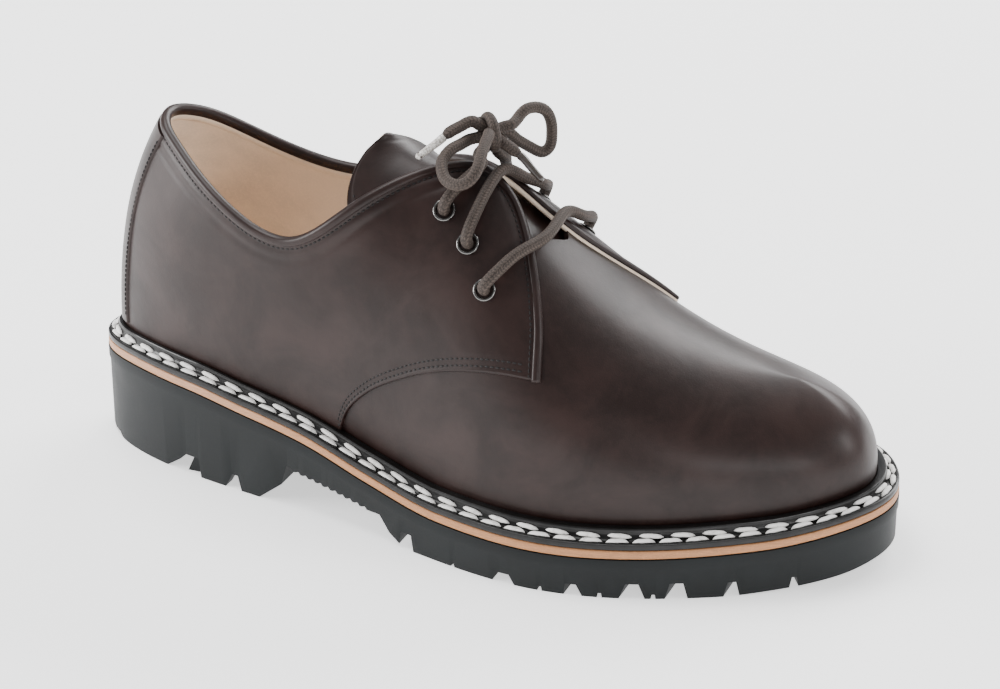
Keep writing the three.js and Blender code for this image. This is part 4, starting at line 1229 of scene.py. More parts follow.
def braid(settings, path, radius):
    """Rings round a path whose surface is a braid of small chevrons, and their heights."""
    angle = circle(POINTS_PER_WALE * settings.wales)[None, :]
    column = settings.wales * angle / (2 * np.pi)
    wale = np.floor(column)
    across = 2 * (column - wale) - (1 - 1 / POINTS_PER_WALE)
    lean = np.where(wale % 2 > 0, 1, -1)
    along = lengths_along(path)[:, None] / settings.pitch
    wave = 0.5 + 0.5 * np.cos(2 * np.pi * (along + CHEVRON_SLANT * lean * across))
    edge = 1 - np.abs(across) ** 3
    # Every fourth wale stands higher, and through its height the lace's finish paints it pale as
    # painted highlight
    painted_highlight_stripe = np.where(wale % 4 < 1, 1.0, STRIPE_SHADE)
    high = np.clip(0.25 + 0.75 * wave * edge, 0, 1) * painted_highlight_stripe
    reach = radius[:, None] * (BRAID_LOW + BRAID_HIGH * high)
    _, side, up = frames_along(path)
    return path[:, None] + round_path(side, up, angle, reach), high


# Distance between a run's rings, the lace's radius and the number of rings that narrow at an end
RING_STEP = 0.2
LACE_RADIUS = LACE / 2 - 0.02
TAPER_RINGS = 5


def lace_piece(settings, name, path, radius=LACE_RADIUS):
    """One braided run along a path, narrowed at its two ends."""
    shrink = rounded(np.linspace(0, 1, TAPER_RINGS), 1) * 0.9 + 0.1
    radii = radius * np.ones(len(path))
    radii[:TAPER_RINGS] *= shrink
    radii[-TAPER_RINGS:] *= shrink[::-1]
    rings, high = braid(settings, path, radii)
    stock = Stock()
    stock.sweep(rings, high)
    return stock.make(name, ["lace"], [name], sharp=0)


# Every eighth point of a run and its last are picked out, and nothing uses the picked points
CORD_STEP = 8

# The knot's turn: where it starts and ends, its swell over the strands, its lean and thickness
KNOT_TURN = (-0.3, 1.0)
KNOT_SWELL = (1.2, 1.2, 1.22)
KNOT_LEAN = 0.35
KNOT_RADIUS = LACE / 2 - 0.15

# The lace's squeeze in its aglet, and the aglet: radius, narrowing, closed tip and crimps
SQUEEZE = 0.42
AGLET_RADIUS = 1.45
AGLET_NARROWING = 0.35
AGLET_TIP = (0.85, 0.3)
AGLET_TIP_LENGTH = 0.5
AGLET_MOUTH = 0.92
CRIMP = 0.05


def declare_cord(piece, path, with_pieces=()):
    kept = path[::CORD_STEP]
    if (len(path) - 1) % CORD_STEP:
        kept = np.vstack([kept, path[-1:]])


class SHOE_OT_lace(bpy.types.Operator):
    """Laces the shoe and ties the bow"""

    bl_idname = "shoe.lace"
    bl_label = "Lace"

    def execute(self, context):
        settings = context.scene.shoe_lace
        for name in LACE_RUNS:
            lace_piece(settings, name, smooth_path(run_points(name), RING_STEP))
        self.knot(settings)
        loops = {
            "lace_loop_right": ("loop_right_out", LOOP_RIGHT, "loop_right_back"),
            "lace_loop_left": ("loop_left_out", LOOP_LEFT, "loop_left_back"),
        }
        for name, (out, rows, back) in loops.items():
            points = [inside_knot(out, LOOP_START), *leaving(out), *from_knot(rows)]
            points += [*leaving(back)[::-1], inside_knot(back, LOOP_START)]
            path = smooth_path(points, RING_STEP)
            declare_cord(lace_piece(settings, name, path), path)
        for side, rows in (("left", END_LEFT), ("right", END_RIGHT)):
            self.free_end(settings, side, rows)
        return {"FINISHED"}

    def knot(self, settings):
        """One turn of the lace drawn tight over the bow's strands."""
        turn = np.linspace(*KNOT_TURN, 30) * 2 * np.pi
        reach = (KNOT_HALF - LACE / 2) * KNOT_SWELL
        lean = np.linspace(-KNOT_LEAN, KNOT_LEAN, len(turn)) * LACE
        points = np.stack([
            -reach[0] * np.cos(turn) + lean,
            reach[1] * np.cos(turn) + lean,
            reach[2] * np.sin(turn),
        ], -1) + KNOT_MIDDLE
        path = smooth_path(points, RING_STEP)
        declare_cord(lace_piece(settings, "lace_knot", path, KNOT_RADIUS), path)

    def free_end(self, settings, side, rows):
        """A strand out of the knot, which narrows into its aglet."""
        name = f"lace_end_{side}"
        starts = [inside_knot(name, share) for share in END_STARTS]
        starts[0] = starts[0] + (0, 0.2 * LACE, 0.5 * LACE)
        points = [*starts, *leaving(name), *from_knot(rows)]
        path = smooth_path(points, RING_STEP)
        along = lengths_along(path)
        tip = along[-1] - AGLET
        squeezed = LACE_RADIUS * (1 - SQUEEZE * ramp(along, tip - 2.5, tip + 0.6))
        piece = lace_piece(settings, name, path, squeezed)
        declare_cord(piece, path, [self.aglet(side, path, tip, along[-1])])

    def aglet(self, side, path, tip, end):
        """The clear sleeve over a lace's end, crimped and closed in at its tip."""
        sleeve = at_lengths(path, path, np.linspace(tip, end, 24))
        closed = sleeve[-1] + unit(sleeve[-1] - sleeve[-2]) * AGLET_TIP_LENGTH
        sleeve = np.vstack([sleeve, closed])
        t = np.linspace(0, 1, len(sleeve))
        width = AGLET_RADIUS - AGLET_NARROWING * t
        width[-2:] *= AGLET_TIP
        width[0] *= AGLET_MOUTH
        _, across, up = frames_along(sleeve)
        angle = circle(20)
        crimp = 1 + CRIMP * np.cos(3 * angle[None, :]) * np.sin(9 * t[:, None])
        ring = round_path(across, up, angle, width[:, None] * crimp)
        # The left aglet gets painted light and the right one painted shade
        light = np.full(ring.shape[:2], 1.0 if side == "left" else 0.0)
        tube = Stock()
        tube.sweep(sleeve[:, None] + ring, light)
        return tube.make(f"aglet_{side}", ["tip"], [f"aglet_{side}"], sharp=60)


# The upper


def blended(points, mask, rounds):
    """Evens out a grid where mask is high. Past the toe the grid goes on down the other side."""
    for _ in range(rounds):
        past = points[-2, ::-1][None]
        padded = np.concatenate([points[:1], points, past])
        up_down = padded[:-2] + padded[2:]
        sides = np.concatenate([points[:, :1], points, points[:, -1:]], 1)
        mean = (up_down + sides[:, :-2] + sides[:, 2:]) / 4
        mean[:, 0], mean[:, -1] = points[:, 0], points[:, -1]
        mean[0] = points[0]
        points = points + mask[..., None] * 0.6 * (mean - points)
    return points


def grid_normals(points, mirrored_end=False):
    """Normals of a grid. With a mirrored end the grid goes on past the toe, as in blended."""
    if mirrored_end:
        points = np.concatenate([points, points[-2, ::-1][None]])
    normals = unit(np.cross(np.gradient(points, axis=0), np.gradient(points, axis=1)))
    return normals[:-1] if mirrored_end else normals


VAMP_STEPS = 150
VAMP_ROWS = 70


def vamp_surface():
    """The vamp's base surface from its rear edge to the toe, outer side, ridge, inner side."""
    j = np.arange(2 * VAMP_ROWS + 1)
    outer = j <= VAMP_ROWS
    share = np.where(outer, j, 2 * VAMP_ROWS - j) / VAMP_ROWS
    rear = VAMP_REAR["welt"] + (VAMP_REAR["ridge"] - VAMP_REAR["welt"]) * share
    i = (np.arange(VAMP_STEPS + 1) / VAMP_STEPS)[:, None]
    station = rear + (HALF - rear) * i
    station = np.where(outer, station, ROUND - station)
    share = np.broadcast_to(share, station.shape)
    points = last_surface(station, share)
    ridge = VAMP_ROWS
    mirrored = last_surface(ROUND - station[:, ridge], share[:, ridge])
    points[:, ridge] = (points[:, ridge] + mirrored) / 2
    mask = np.maximum(ramp(share, 0.8, 1.0), ramp(i, 0.9, 1.0) * ramp(share, 0.1, 0.4))
    points = blended(points, np.broadcast_to(mask, share.shape), 60)
    return points, grid_normals(points, True), share


QUARTER_STEPS = 112
# Places up the quarters' wall, closer together by its foot
QUARTER_ROWS = np.append([0, 0.0025, 0.005, 0.008, 0.012, 0.017, 0.024], np.linspace(0.034, 1, 62))


def quarter_surface():
    """Both quarters as one grid from the inner facing round the heel to the outer facing."""
    run = np.linspace(-1, 1, 2 * QUARTER_STEPS + 1)
    a, b = np.meshgrid(np.abs(run), QUARTER_ROWS, indexing="ij")
    made = {side: quarter_at(side, a, b) for side in ("lateral", "medial")}
    inner = np.broadcast_to((run < 0)[:, None], a.shape)
    station = np.where(inner, -made["medial"][0], made["lateral"][0])
    share = np.where(inner, made["medial"][1], made["lateral"][1])
    return last_surface(station, share), wall_normal(station, share), a, b


# The seams' distances inside the free edge and over the lower front edge, the stretch of the front
# edge that they run along, and the distance of the padded fold from the collar's edge
SEAM_INSIDE = 2.9
FRONT_SEAMS = (2.3, 4.6)
FRONT_SEAM_SPAN = (0.64, 0.99)
COLLAR_FOLD = 7.2

# The quarters' lower edge: how far it is sunk and over what width it is rounded
FOOT_SINK = 0.05
FOOT_ROUND = 0.9
# Distance between the points of the free edge's line
BORDER_STEP = 0.9


def quarter_wave(points, share):
    """Unevenness of the leather, which dies away by the welt and by the collar."""
    return 0.22 * undulation(points) * ramp(share, 0.05, 0.3) * ramp(share, 1.0, 0.85)


class UpperShapes:
    """The grids of the upper that several pieces share."""

    def __init__(self):
        self.vamp, self.vamp_normals, self.vamp_share = vamp_surface()
        self.base, self.normals, a, b = quarter_surface()
        self.up = lengths_grid(self.base, 1)
        self.border, self.border_normals, self.inward, self.on_collar = self.border_line()
        edges = self.base[:, -1], self.base[0], self.base[-1]
        to_collar, *to_facings = [self.distance_to(line) for line in edges]
        away = np.min([to_collar, *to_facings], 0)
        relief = ditch(away, SEAM_INSIDE + 0.2, 0.9, 0.3) + ditch(to_collar, COLLAR_FOLD, 1.3, 0.28)
        for distance in FRONT_SEAMS:
            relief = relief + ditch(self.up, distance, 0.7, 0.2) * ramp(a, 0.6, 0.66)
        step = -FOOT_SINK + (QUARTER_STEP + FOOT_SINK) * rounded(self.up, FOOT_ROUND)
        proud = step + quarter_wave(self.base, b) + relief
        self.quarters = self.base + self.normals * proud[..., None]
        self.lining = self.base - self.normals * LINING
        self.skin = Skin(self.quarters)

    def distance_to(self, line):
        """How far each point of the quarters' grid is from a line."""
        tree = KDTree(len(line))
        for k, point in enumerate(line):
            tree.insert(Vector(point), k)
        tree.balance()
        flat = self.base.reshape(-1, 3)
        gaps = [tree.find(Vector(point))[2] for point in flat]
        return np.array(gaps).reshape(self.base.shape[:2])

    def border_line(self):
        """The middle of the quarters' free edge, from the inner facing's foot to the outer's.

        Its normals, the way into the quarters and how much each point is collar come with it.
        """
        middle = self.base + self.normals * (QUARTER_STEP - LINING) / 2
        inner, collar, outer = middle[0], middle[1:-1, -1], middle[-1, ::-1]
        path = np.vstack([inner, collar, outer])
        normals = np.vstack([self.normals[0], self.normals[1:-1, -1], self.normals[-1, ::-1]])
        inside = np.vstack([self.base[4], self.base[1:-1, -6], self.base[-5, ::-1]])
        flag = np.repeat([0.0, 1.0, 0.0], [len(inner), len(collar), len(outer)])[:, None]
        whole = lengths_along(path)[-1]
        at = np.linspace(0, whole, int(whole / BORDER_STEP))
        line = soften(at_lengths(path, path, at), 8)
        normal = soften(at_lengths(path, normals, at), 8)
        inward = at_lengths(path, inside, at) - line
        flag = soften(at_lengths(path, flag, at), 30)[:, 0]
        tangent = unit(np.gradient(line, axis=0))
        normal = unit(normal - tangent * np.sum(normal * tangent, -1, keepdims=True))
        across = np.cross(normal, tangent)
        across = across * np.sign(np.sum(across * inward, -1, keepdims=True))
        return line, normal, unit(soften(across, 12)), flag

    def beside_border(self, distance):
        """A seam line a distance inside the free edge, laid on the quarters."""
        line = self.border + self.inward * distance + self.border_normals
        places, normals = self.skin.lay(line)
        flip = np.sign(np.sum(normals * self.border_normals, -1, keepdims=True))
        return soften(places, 4), unit(soften(normals * flip, 6))

    def above_front(self, side, distance):
        """A seam line a distance above the quarter's lower front edge."""
        half = len(self.base) // 2
        columns = range(half + 1, len(self.base)) if side == "lateral" else range(half - 1, -1, -1)
        first, last = FRONT_SEAM_SPAN
        line, normals = [], []
        for k in columns:
            if first <= abs(k - half) / half <= last:
                for made, grid in ((line, self.quarters), (normals, self.normals)):
                    made.append([np.interp(distance, self.up[k], grid[k, :, c]) for c in range(3)])
        return np.array(line), unit(np.array(normals))


# The binding's section beside the free edge: distance inside the edge, height from the middle
BINDING_AT_COLLAR = [
    (1.85, 0.9), (1.9, 1.3), (1.65, 1.65), (1.1, 1.86), (0.4, 1.9), (-0.35, 1.72), (-0.95, 1.2),
    (-1.2, 0.45), (-1.2, -0.4), (-0.95, -1.15), (-0.3, -1.6), (0.6, -1.72), (1.8, -1.7),
    (2.35, -1.5), (2.4, -1.0),
]
BINDING_AT_FACING = [
    (1.85, 0.9), (1.9, 1.3), (1.65, 1.7), (1.1, 1.96), (0.4, 2.0), (-0.35, 1.8), (-0.95, 1.3),
    (-1.2, 0.7), (-1.15, 0.15), (-0.9, -0.2), (-0.3, -0.3), (0.3, -0.3), (0.9, -0.3),
    (1.6, -0.3), (2.2, -0.3),
]
# The same at the inner side's facing, whose lining shows along the edge
BINDING_AT_FAR_FACING = [
    (1.85, 0.9), (1.9, 1.3), (1.65, 1.7), (1.1, 1.96), (0.4, 2.0), (-0.35, 1.85), (-0.95, 1.5),
    (-1.2, 1.1), (-1.15, 0.7), (-0.9, 0.5), (-0.3, 0.45), (0.3, 0.4), (0.9, 0.3), (1.6, 0.1), (2.2, 0),
]
# The lining's edge under it
RIM_AT_COLLAR = [
    (2.0, -1.1), (1.9, -1.55), (2.2, -1.85), (2.9, -1.95), (3.9, -1.9), (4.6, -1.6), (4.7, -1.1),
]
RIM_AT_FACING = [
    (-0.5, -0.3), (-0.85, -0.45), (-0.95, -0.8), (-0.8, -1.2), (-0.3, -1.35), (1.6, -1.32), (2.6, -1.1),
]
RIM_AT_FAR_FACING = [
    (-0.6, 0.5), (-1.1, 0.4), (-1.35, -0.1), (-1.3, -0.8), (-0.8, -1.35), (1.6, -1.32), (2.6, -1.1),
]


# The strips along the free edge: finish, and sections at the collar and at both facings
EDGE_STRIPS = {
    "collar_binding": ("leather", BINDING_AT_COLLAR, BINDING_AT_FACING, BINDING_AT_FAR_FACING),
    "lining_edge": ("lining", RIM_AT_COLLAR, RIM_AT_FACING, RIM_AT_FAR_FACING),
}


def edge_sweep(shapes, at_collar, at_facing, at_far_facing):
    """A strip along the quarters' free edge, which starts at the inner side's facing."""
    weight = shapes.on_collar[:, None, None]
    far = (np.arange(len(shapes.border)) < len(shapes.border) / 2)[:, None, None]
    facing = np.where(far, np.array(at_far_facing), np.array(at_facing))
    section = np.array(at_collar) * weight + facing * (1 - weight)
    return (
        shapes.border[:, None]
        + shapes.inward[:, None] * section[..., :1]
        + shapes.border_normals[:, None] * section[..., 1:]
    )


# The back strip: half its width in stations, the height of its low end, the share of the wall at
# its top, and its seams' distance inside its edges and shares of the wall
STRIP_HALF = 1.4
STRIP_LOW = 7.0
STRIP_TOP = 0.965
STRIP_SEAM = 1.9
STRIP_SEAM_SPAN = (0.1, 0.93)
# Millimetres to a station at the heel
HEEL_STATION = 28


def strip_station(i):
    """The station at a place across the back strip, -1 to 1."""
    return STRIP_HALF * i % ROUND


def strip_seam(side):
    """The seam line inside one edge of the back strip."""
    share = np.linspace(*STRIP_SEAM_SPAN, 60)
    place = side * (1 - STRIP_SEAM / (STRIP_HALF * HEEL_STATION))
    station = np.full(len(share), strip_station(place))
    return wall_point(station, share, QUARTER_STEP + STRIP_STEP), wall_normal(station, share)


@cache
def shared_shapes():
    """The upper's grids, made once for the operators that need them."""
    return UpperShapes()


class SHOE_OT_upper(bpy.types.Operator):
    """Makes the vamp, the quarters and what binds their edges"""

    bl_idname = "shoe.upper"
    bl_label = "Upper"

    def execute(self, context):
        shapes = shared_shapes()
        self.wall("vamp", *self.vamp(shapes), open_end=True)
        self.wall("quarters", shapes.quarters, shapes.lining)
        for name, (finish, *sections) in EDGE_STRIPS.items():
            stock = Stock()
            stock.sweep(edge_sweep(shapes, *sections))
            stock.make(name, [finish], ["upper"], sharp=0)
        self.wall("back_strip", *self.back_strip(), inner_finish="leather")
        return {"FINISHED"}

    def wall(self, name, outer, inner, open_end=False, inner_finish="lining"):
        stock = Stock()
        stock.shell(outer, inner, open_end)
        stock.make(name, ["leather", inner_finish], ["upper"], sharp=60)

    def vamp(self, shapes):
        points, normals, share = shapes.vamp, shapes.vamp_normals, shapes.vamp_share
        i = np.linspace(0, 1, len(points))[:, None]
        wave = 0.2 * undulation(points) * ramp(share, 0.08, 0.3) * ramp(i, 0.06, 0.2)
        return points + normals * wave[..., None], points - normals * VAMP_WALL

    def back_strip(self):
        i = np.linspace(-1, 1, 65)[:, None]
        station = strip_station(i)
        low = share_at_rise(station, STRIP_LOW)
        share = low + (STRIP_TOP - low) * np.linspace(0, 1, 70)[None, :]
        station, share = np.broadcast_arrays(station, share)
        edge = (1 - np.abs(i)) * STRIP_HALF * HEEL_STATION
        strip = QUARTER_STEP + STRIP_STEP * rounded(edge, 0.7) + ditch(edge, STRIP_SEAM, 0.6, 0.15)
        wave = quarter_wave(last_surface(station, share), share)
        outer = wall_point(station, share, strip + wave)
        return outer, wall_point(station, share, QUARTER_STEP - 0.6)


# A seam stitch: share of its pitch, width and height
SEAM_STITCH = (0.8, 0.6, 0.42)


class SHOE_OT_seams(bpy.types.Operator):
    """Sews the upper's seams"""

    bl_idname = "shoe.seams"
    bl_label = "Seams"

    def execute(self, context):
        pitch = context.scene.shoe_stitching.seam_pitch
        shapes = shared_shapes()
        seams = [shapes.beside_border(SEAM_INSIDE)]
        for side in ("lateral", "medial"):
            seams += [shapes.above_front(side, distance) for distance in FRONT_SEAMS]
        seams += [strip_seam(side) for side in (-1, 1)]
        stock = Stock()
        for line, normals in seams:
            stitches(stock, line, normals, pitch, *SEAM_STITCH)
        stock.make("seam_stitches", ["seam"], ["upper"], sharp=0)
        return {"FINISHED"}


# The tongue


TONGUE_FRONT = 7.65
TONGUE_LEAVE = 6.0
TONGUE_SIDE = 0.62
TONGUE_FACE = -(VAMP_WALL + 4 * CLEAR)

# The tongue leaves the wall at LEAVE_ROW. Its rows grow closer from ROUND_ROW on, and its end
# narrows from a share of the way beyond the wall to a share of its width
LEAVE_ROW = 8
ROUND_ROW = 12
ROUND_ROWS = 4
ROUND_TURN = 1.3
NARROW_FROM = 0.72
NARROW_OVER = 0.282
END_WIDTH = 0.2

# The tongue's seam: distance inside its edge and share of the rows at which it starts, and the
# width of its rounded edge
TONGUE_SEAM = 3.2
TONGUE_SEAM_START = 0.45
TONGUE_ROUND = 1.1


def tongue_grid():
    """The tongue's face: it follows the wall, then runs on toward the leg with a round end."""
    closer = np.sin(np.linspace(0, ROUND_TURN, 30)[1:]) / math.sin(ROUND_TURN)
    i = np.append(np.linspace(0, ROUND_ROW, 60), ROUND_ROW + ROUND_ROWS * closer)[:, None]
    t = np.linspace(-1, 1, 81)[None, :]
    station = TONGUE_FRONT + (TONGUE_LEAVE - TONGUE_FRONT) * np.minimum(i / LEAVE_ROW, 1)
    beyond = np.maximum(i - LEAVE_ROW, 0) / LEAVE_ROW
    narrow = np.maximum((beyond - NARROW_FROM) / NARROW_OVER, 0)
    width = END_WIDTH + (1 - END_WIDTH) * np.sqrt(np.maximum(1 - narrow**2, 0))
    spread = np.abs(t) * TONGUE_SIDE * width
    share = 1 - (1 - TONGUE_SIDE) * spread / TONGUE_SIDE
    turned, share = np.broadcast_arrays(np.where(t < 0, station, ROUND - station), share)
    points = wall_point(turned, share, TONGUE_FACE)
    middle = t.shape[1] // 2
    mirrored = wall_point(ROUND - turned[:, middle], share[:, middle], TONGUE_FACE)
    points[:, middle] = (points[:, middle] + mirrored) / 2
    across = t * width
    points[..., 0] -= TONGUE_REACH * beyond * (1 - TONGUE_SKEW * across)
    points[..., 1] += TONGUE_SHIFT * beyond**2
    points[..., 2] += TONGUE_RISE * beyond + TONGUE_DOME * beyond**2 * (1 - across**2)
    mask = ramp(1 - np.abs(t), 0.3, 0.8)[:, 1:-1, None]
    for _ in range(150):
        sides = (points[:, :-2] + points[:, 2:]) / 2
        points[:, 1:-1] += mask * 0.5 * (sides - points[:, 1:-1])
    return points


class SHOE_OT_tongue(bpy.types.Operator):
    """Makes the tongue with its lining and edge seam"""

    bl_idname = "shoe.tongue"
    bl_label = "Tongue"

    def execute(self, context):
        face = tongue_grid()
        normals = self.upward_normals(face)
        across, along = lengths_grid(face, 1), lengths_grid(face, 0)
        side = np.minimum(across, across[:, -1:] - across)
        inside = np.minimum(side, along[-1:] - along)
        drop = (TONGUE / 2) * (1 - rounded(inside, TONGUE_ROUND))
        groove = ditch(inside, TONGUE_SEAM, 0.8, 0.16)
        outer = face - normals * (drop - groove)[..., None]
        inner = face - normals * (TONGUE - drop)[..., None]
        stock = Stock()
        stock.shell(outer, inner, rim_slot=1)
        stock.make("tongue_leather", ["leather", "lining"], ["tongue"], sharp=60)
        self.seam(context, outer, normals, inside)
        return {"FINISHED"}

    def upward_normals(self, face):
        """The face's normals on its upper side, evened out along the tongue."""
        normals = grid_normals(face)
        if normals[len(face) // 2, face.shape[1] // 2, 2] < 0:
            normals = -normals
        for _ in range(6):
            normals[1:-1] = (normals[:-2] + 2 * normals[1:-1] + normals[2:]) / 4
            normals[-1] = normals[-2]
        return unit(normals)

    def seam(self, context, outer, normals, inside):
        """One seam up the tongue's one side and down the other, a distance inside its edge."""
        last = len(outer) - 1
        rows = range(int(TONGUE_SEAM_START * last), last)
        rows = list(takewhile(lambda row: inside[row].max() >= TONGUE_SEAM, rows))
        deep = inside[rows] >= TONGUE_SEAM
        near, far = np.argmax(deep, 1), deep.shape[1] - 1 - np.argmax(deep[:, ::-1], 1)
        row, column = np.append(rows, rows[::-1]), np.append(near, far[::-1])
        line, ups = soften(outer[row, column], 25), unit(soften(normals[row, column], 10))
        stock = Stock()
        stitches(stock, line, ups, context.scene.shoe_stitching.seam_pitch, *SEAM_STITCH)
        stock.make("tongue_stitches", ["seam"], ["tongue"], sharp=0)


# The eyelets


# An eyelet's section: distance from its axis and height over the quarter
EYELET_SECTION = [
    (2.6, -2.6), (2.95, -2.6), (2.95, 0.1), (3.15, 0.2), (3.5, 0.22), (3.72, 0.32), (3.8, 0.5),
    (3.74, 0.72), (3.5, 0.9), (3.2, 0.95), (2.95, 0.88), (2.75, 0.7), (2.65, 0.4), (2.6, 0),
]


class SHOE_OT_eyelets(bpy.types.Operator):
    """Sets the six eyelets"""

    bl_idname = "shoe.eyelets"
    bl_label = "Eyelets"

    def execute(self, context):
        for side, places in EYELETS.items():
            for number, (station, share) in enumerate(places, 1):
                turned = station if side == "lateral" else ROUND - station
                self.eyelet(f"eyelet_{side}_{number}", turned, share)
        return {"FINISHED"}

    def eyelet(self, name, station, share):
        normal = wall_normal(station, share)
        middle = wall_point(station, share, QUARTER_STEP)
        first = unit(np.cross(normal, (0.3, 0.9, 0.1)))
        second = np.cross(normal, first)
        angle = circle(40)[:, None]
        round_way = first * np.cos(angle) + second * np.sin(angle)
        section = np.array(EYELET_SECTION)
        rings = middle + round_way[:, None] * section[:, :1] + normal * section[:, 1:]
        stock = Stock()
        stock.grid(rings, wrap_rows=True, wrap_columns=True)
        stock.make(name, ["nickel"], [name], sharp=60)


# Welt, midsole, insole and sole


def ring_stations(count):
    """Stations evenly once round the shoe."""
    return ROUND * np.arange(count) / count


WELT_STEPS = 420
WELT_GAP_OVER_QUARTER = QUARTER_STEP + CLEAR
WELT_GAP_OVER_VAMP = 0.25

# Stations between which the quarter's edge ends behind the welt
QUARTER_ENDS = {"lateral": (4.86, 5.0), "medial": (ROUND - 5.38, ROUND - 5.22)}


def over_quarter(station):
    """1 where the quarter stands behind the welt, 0 where the vamp does."""
    outer = 1 - ramp(station, *QUARTER_ENDS["lateral"])
    inner = ramp(station, *QUARTER_ENDS["medial"])
    return outer + inner


def beside_wall(station, height, gap):
    """A point at a height above the welt's underside, a gap outside the wall."""
    base = foot(station)
    swell = last_surface(station, share_at_rise(station, height))
    reach = np.sum((swell - base) * outward(station), -1)
    plan = edge_point(station, LEDGES(station) - reach - gap)
    return np.concatenate([plan, welt_bottom(plan[..., :1]) + height], -1)


def on_welt(station, inset, height):
    """A point inside the sole's edge, at a height above the welt's underside."""
    plan = edge_point(station, inset + 0 * station)
    return np.concatenate([plan, welt_bottom(plan[..., :1]) + height], -1)


# The welt's section: insets and heights of its flange, heights and thicknesses of its lip
FLANGE = [
    (0.45, 0), (0.28, 0.3), (0.25, 1.5), (0.4, 1.95), (0.85, 2.18), (1.25, 2.15), (1.55, 1.95),
    (2.5, 1.85), (3.2, 1.9),
]
LIP = [(2.5, 2.55), (3.3, 1.95), (4.2, 1.75), (5.1, 1.7), (5.55, 1.4), (5.65, 0.9)]

# The lip's back: heights, and how much farther than the gap it stands off the wall
LIP_BACK = [(5.4, 0.1), (4.6, 0.0), (0.02, 0.0)]

# The rows' places: inset and height on the flange, height and gap on the lip
OUTER_ROW = (2.35, 2.05)
INNER_ROW = (3.1, WELT_GAP_OVER_QUARTER + 2.25)
INNER_TILT = 0.75

# A welt stitch of each row: share of its pitch, width, height, slant, sink, ply and start
OUTER_STITCH = (0.86, 1.95, 1.25, 0.15, 0.1, 3, 0.5)
INNER_STITCH = (0.77, 1.7, 1.1, -0.25, 0.1, 3, 0.1)


class SHOE_OT_welt(bpy.types.Operator):
    """Makes the welt and its two rows of white stitches"""

    bl_idname = "shoe.welt"
    bl_label = "Welt"

    def execute(self, context):
        station = ring_stations(WELT_STEPS)
        near = WELT_GAP_OVER_QUARTER
        behind = WELT_GAP_OVER_VAMP + (near - WELT_GAP_OVER_VAMP) * over_quarter(station)
        section = [on_welt(station, inset, height) for inset, height in FLANGE]
        section += [beside_wall(station, height, near + wide) for height, wide in LIP]
        section += [beside_wall(station, height, behind + more) for height, more in LIP_BACK]
        stock = Stock()
        stock.grid(np.stack(section, 1), wrap_rows=True, wrap_columns=True)
        stock.make("welt_strip", ["welt"], ["welt"], sharp=40)
        self.rows(context.scene.shoe_stitching)
        return {"FINISHED"}

    def rows(self, settings):
        station = np.append(ring_stations(WELT_STEPS), ROUND)
        up = np.zeros((len(station), 3)) + (0, 0, 1)
        outer = on_welt(station, *OUTER_ROW)
        inner = beside_wall(station, *INNER_ROW)
        tilt = unit(outward(station) * INNER_TILT + up)
        for name, line, normals, pitch, size in (
            ("outer", outer, up, settings.welt_outer_pitch, OUTER_STITCH),
            ("inner", inner, tilt, settings.welt_inner_pitch, INNER_STITCH),
        ):
            stock = Stock()
            stitches(stock, line, normals, pitch, *size)
            stock.make(f"welt_stitches_{name}", ["thread"], ["welt"], sharp=0)


def edged_slab(stock, steps, section, across=8, crown=0.0):
    """A slab with the sole's outline. section is inset, height function and offset, up its edge."""
    station = HALF * np.arange(steps + 1) / steps
    ring = np.concatenate([station, (ROUND - station)[1:-1][::-1]])
    levels = []
    for inset, height, offset in section:
        plan = edge_point(ring, inset(ring) if callable(inset) else inset + 0 * ring)
        levels.append(np.concatenate([plan, height(plan[..., :1]) + offset], -1))
    stock.grid(np.stack(levels, 1), wrap_rows=True)
    t = np.linspace(0, 1, across + 1)[None, :, None]
    for level, (_, height, offset), raised in (
        (levels[0], section[0], 0.0), (levels[-1], section[-1], crown)
    ):
        left = level[: steps + 1]
        right = np.concatenate([level[:1], level[steps:][::-1]])
        cap = left[:, None] * (1 - t) + right[:, None] * t
        cap[..., 2] = height(cap[..., 0]) + offset + raised * np.sin(np.pi * t[..., 0]) ** 2
        stock.grid(cap)


# How far a cutting bar stands out below the tread and beside it
BAR_BELOW = 2
BAR_BESIDE = 3.0
# Width of a nick's or channel's root as a share of its mouth, and the channels' front end
ROOT_SHARE = 0.6
CHANNEL_END = 0.9


def groove(start, end, floor_width, root_width, depth, shift=0.0):
    """A bar with a wedge section that cuts a groove, wider at the floor than at its root."""
    start, end = np.array(start, float), np.array(end, float)
    along = unit(end - start)
    side = np.array([-along[1], along[0]])
    level = float(ground(start[0]))

    def corner(at, half, z):
        wide = half + (math.copysign(root_width / 2, half) - half) * z / depth
        plan = at + side * wide
        return (plan[0] + shift * z / depth, plan[1], level + z)

    half = floor_width / 2
    section = [(-half, -BAR_BELOW), (half, -BAR_BELOW), (half, depth), (-half, depth)]
    points = [corner(at, wide, z) for at in (start, end) for wide, z in section]
    faces = [(3, 2, 1, 0), (4, 5, 6, 7), *((k, (k + 1) % 4, (k + 1) % 4 + 4, k + 4) for k in range(4))]
    return points, faces


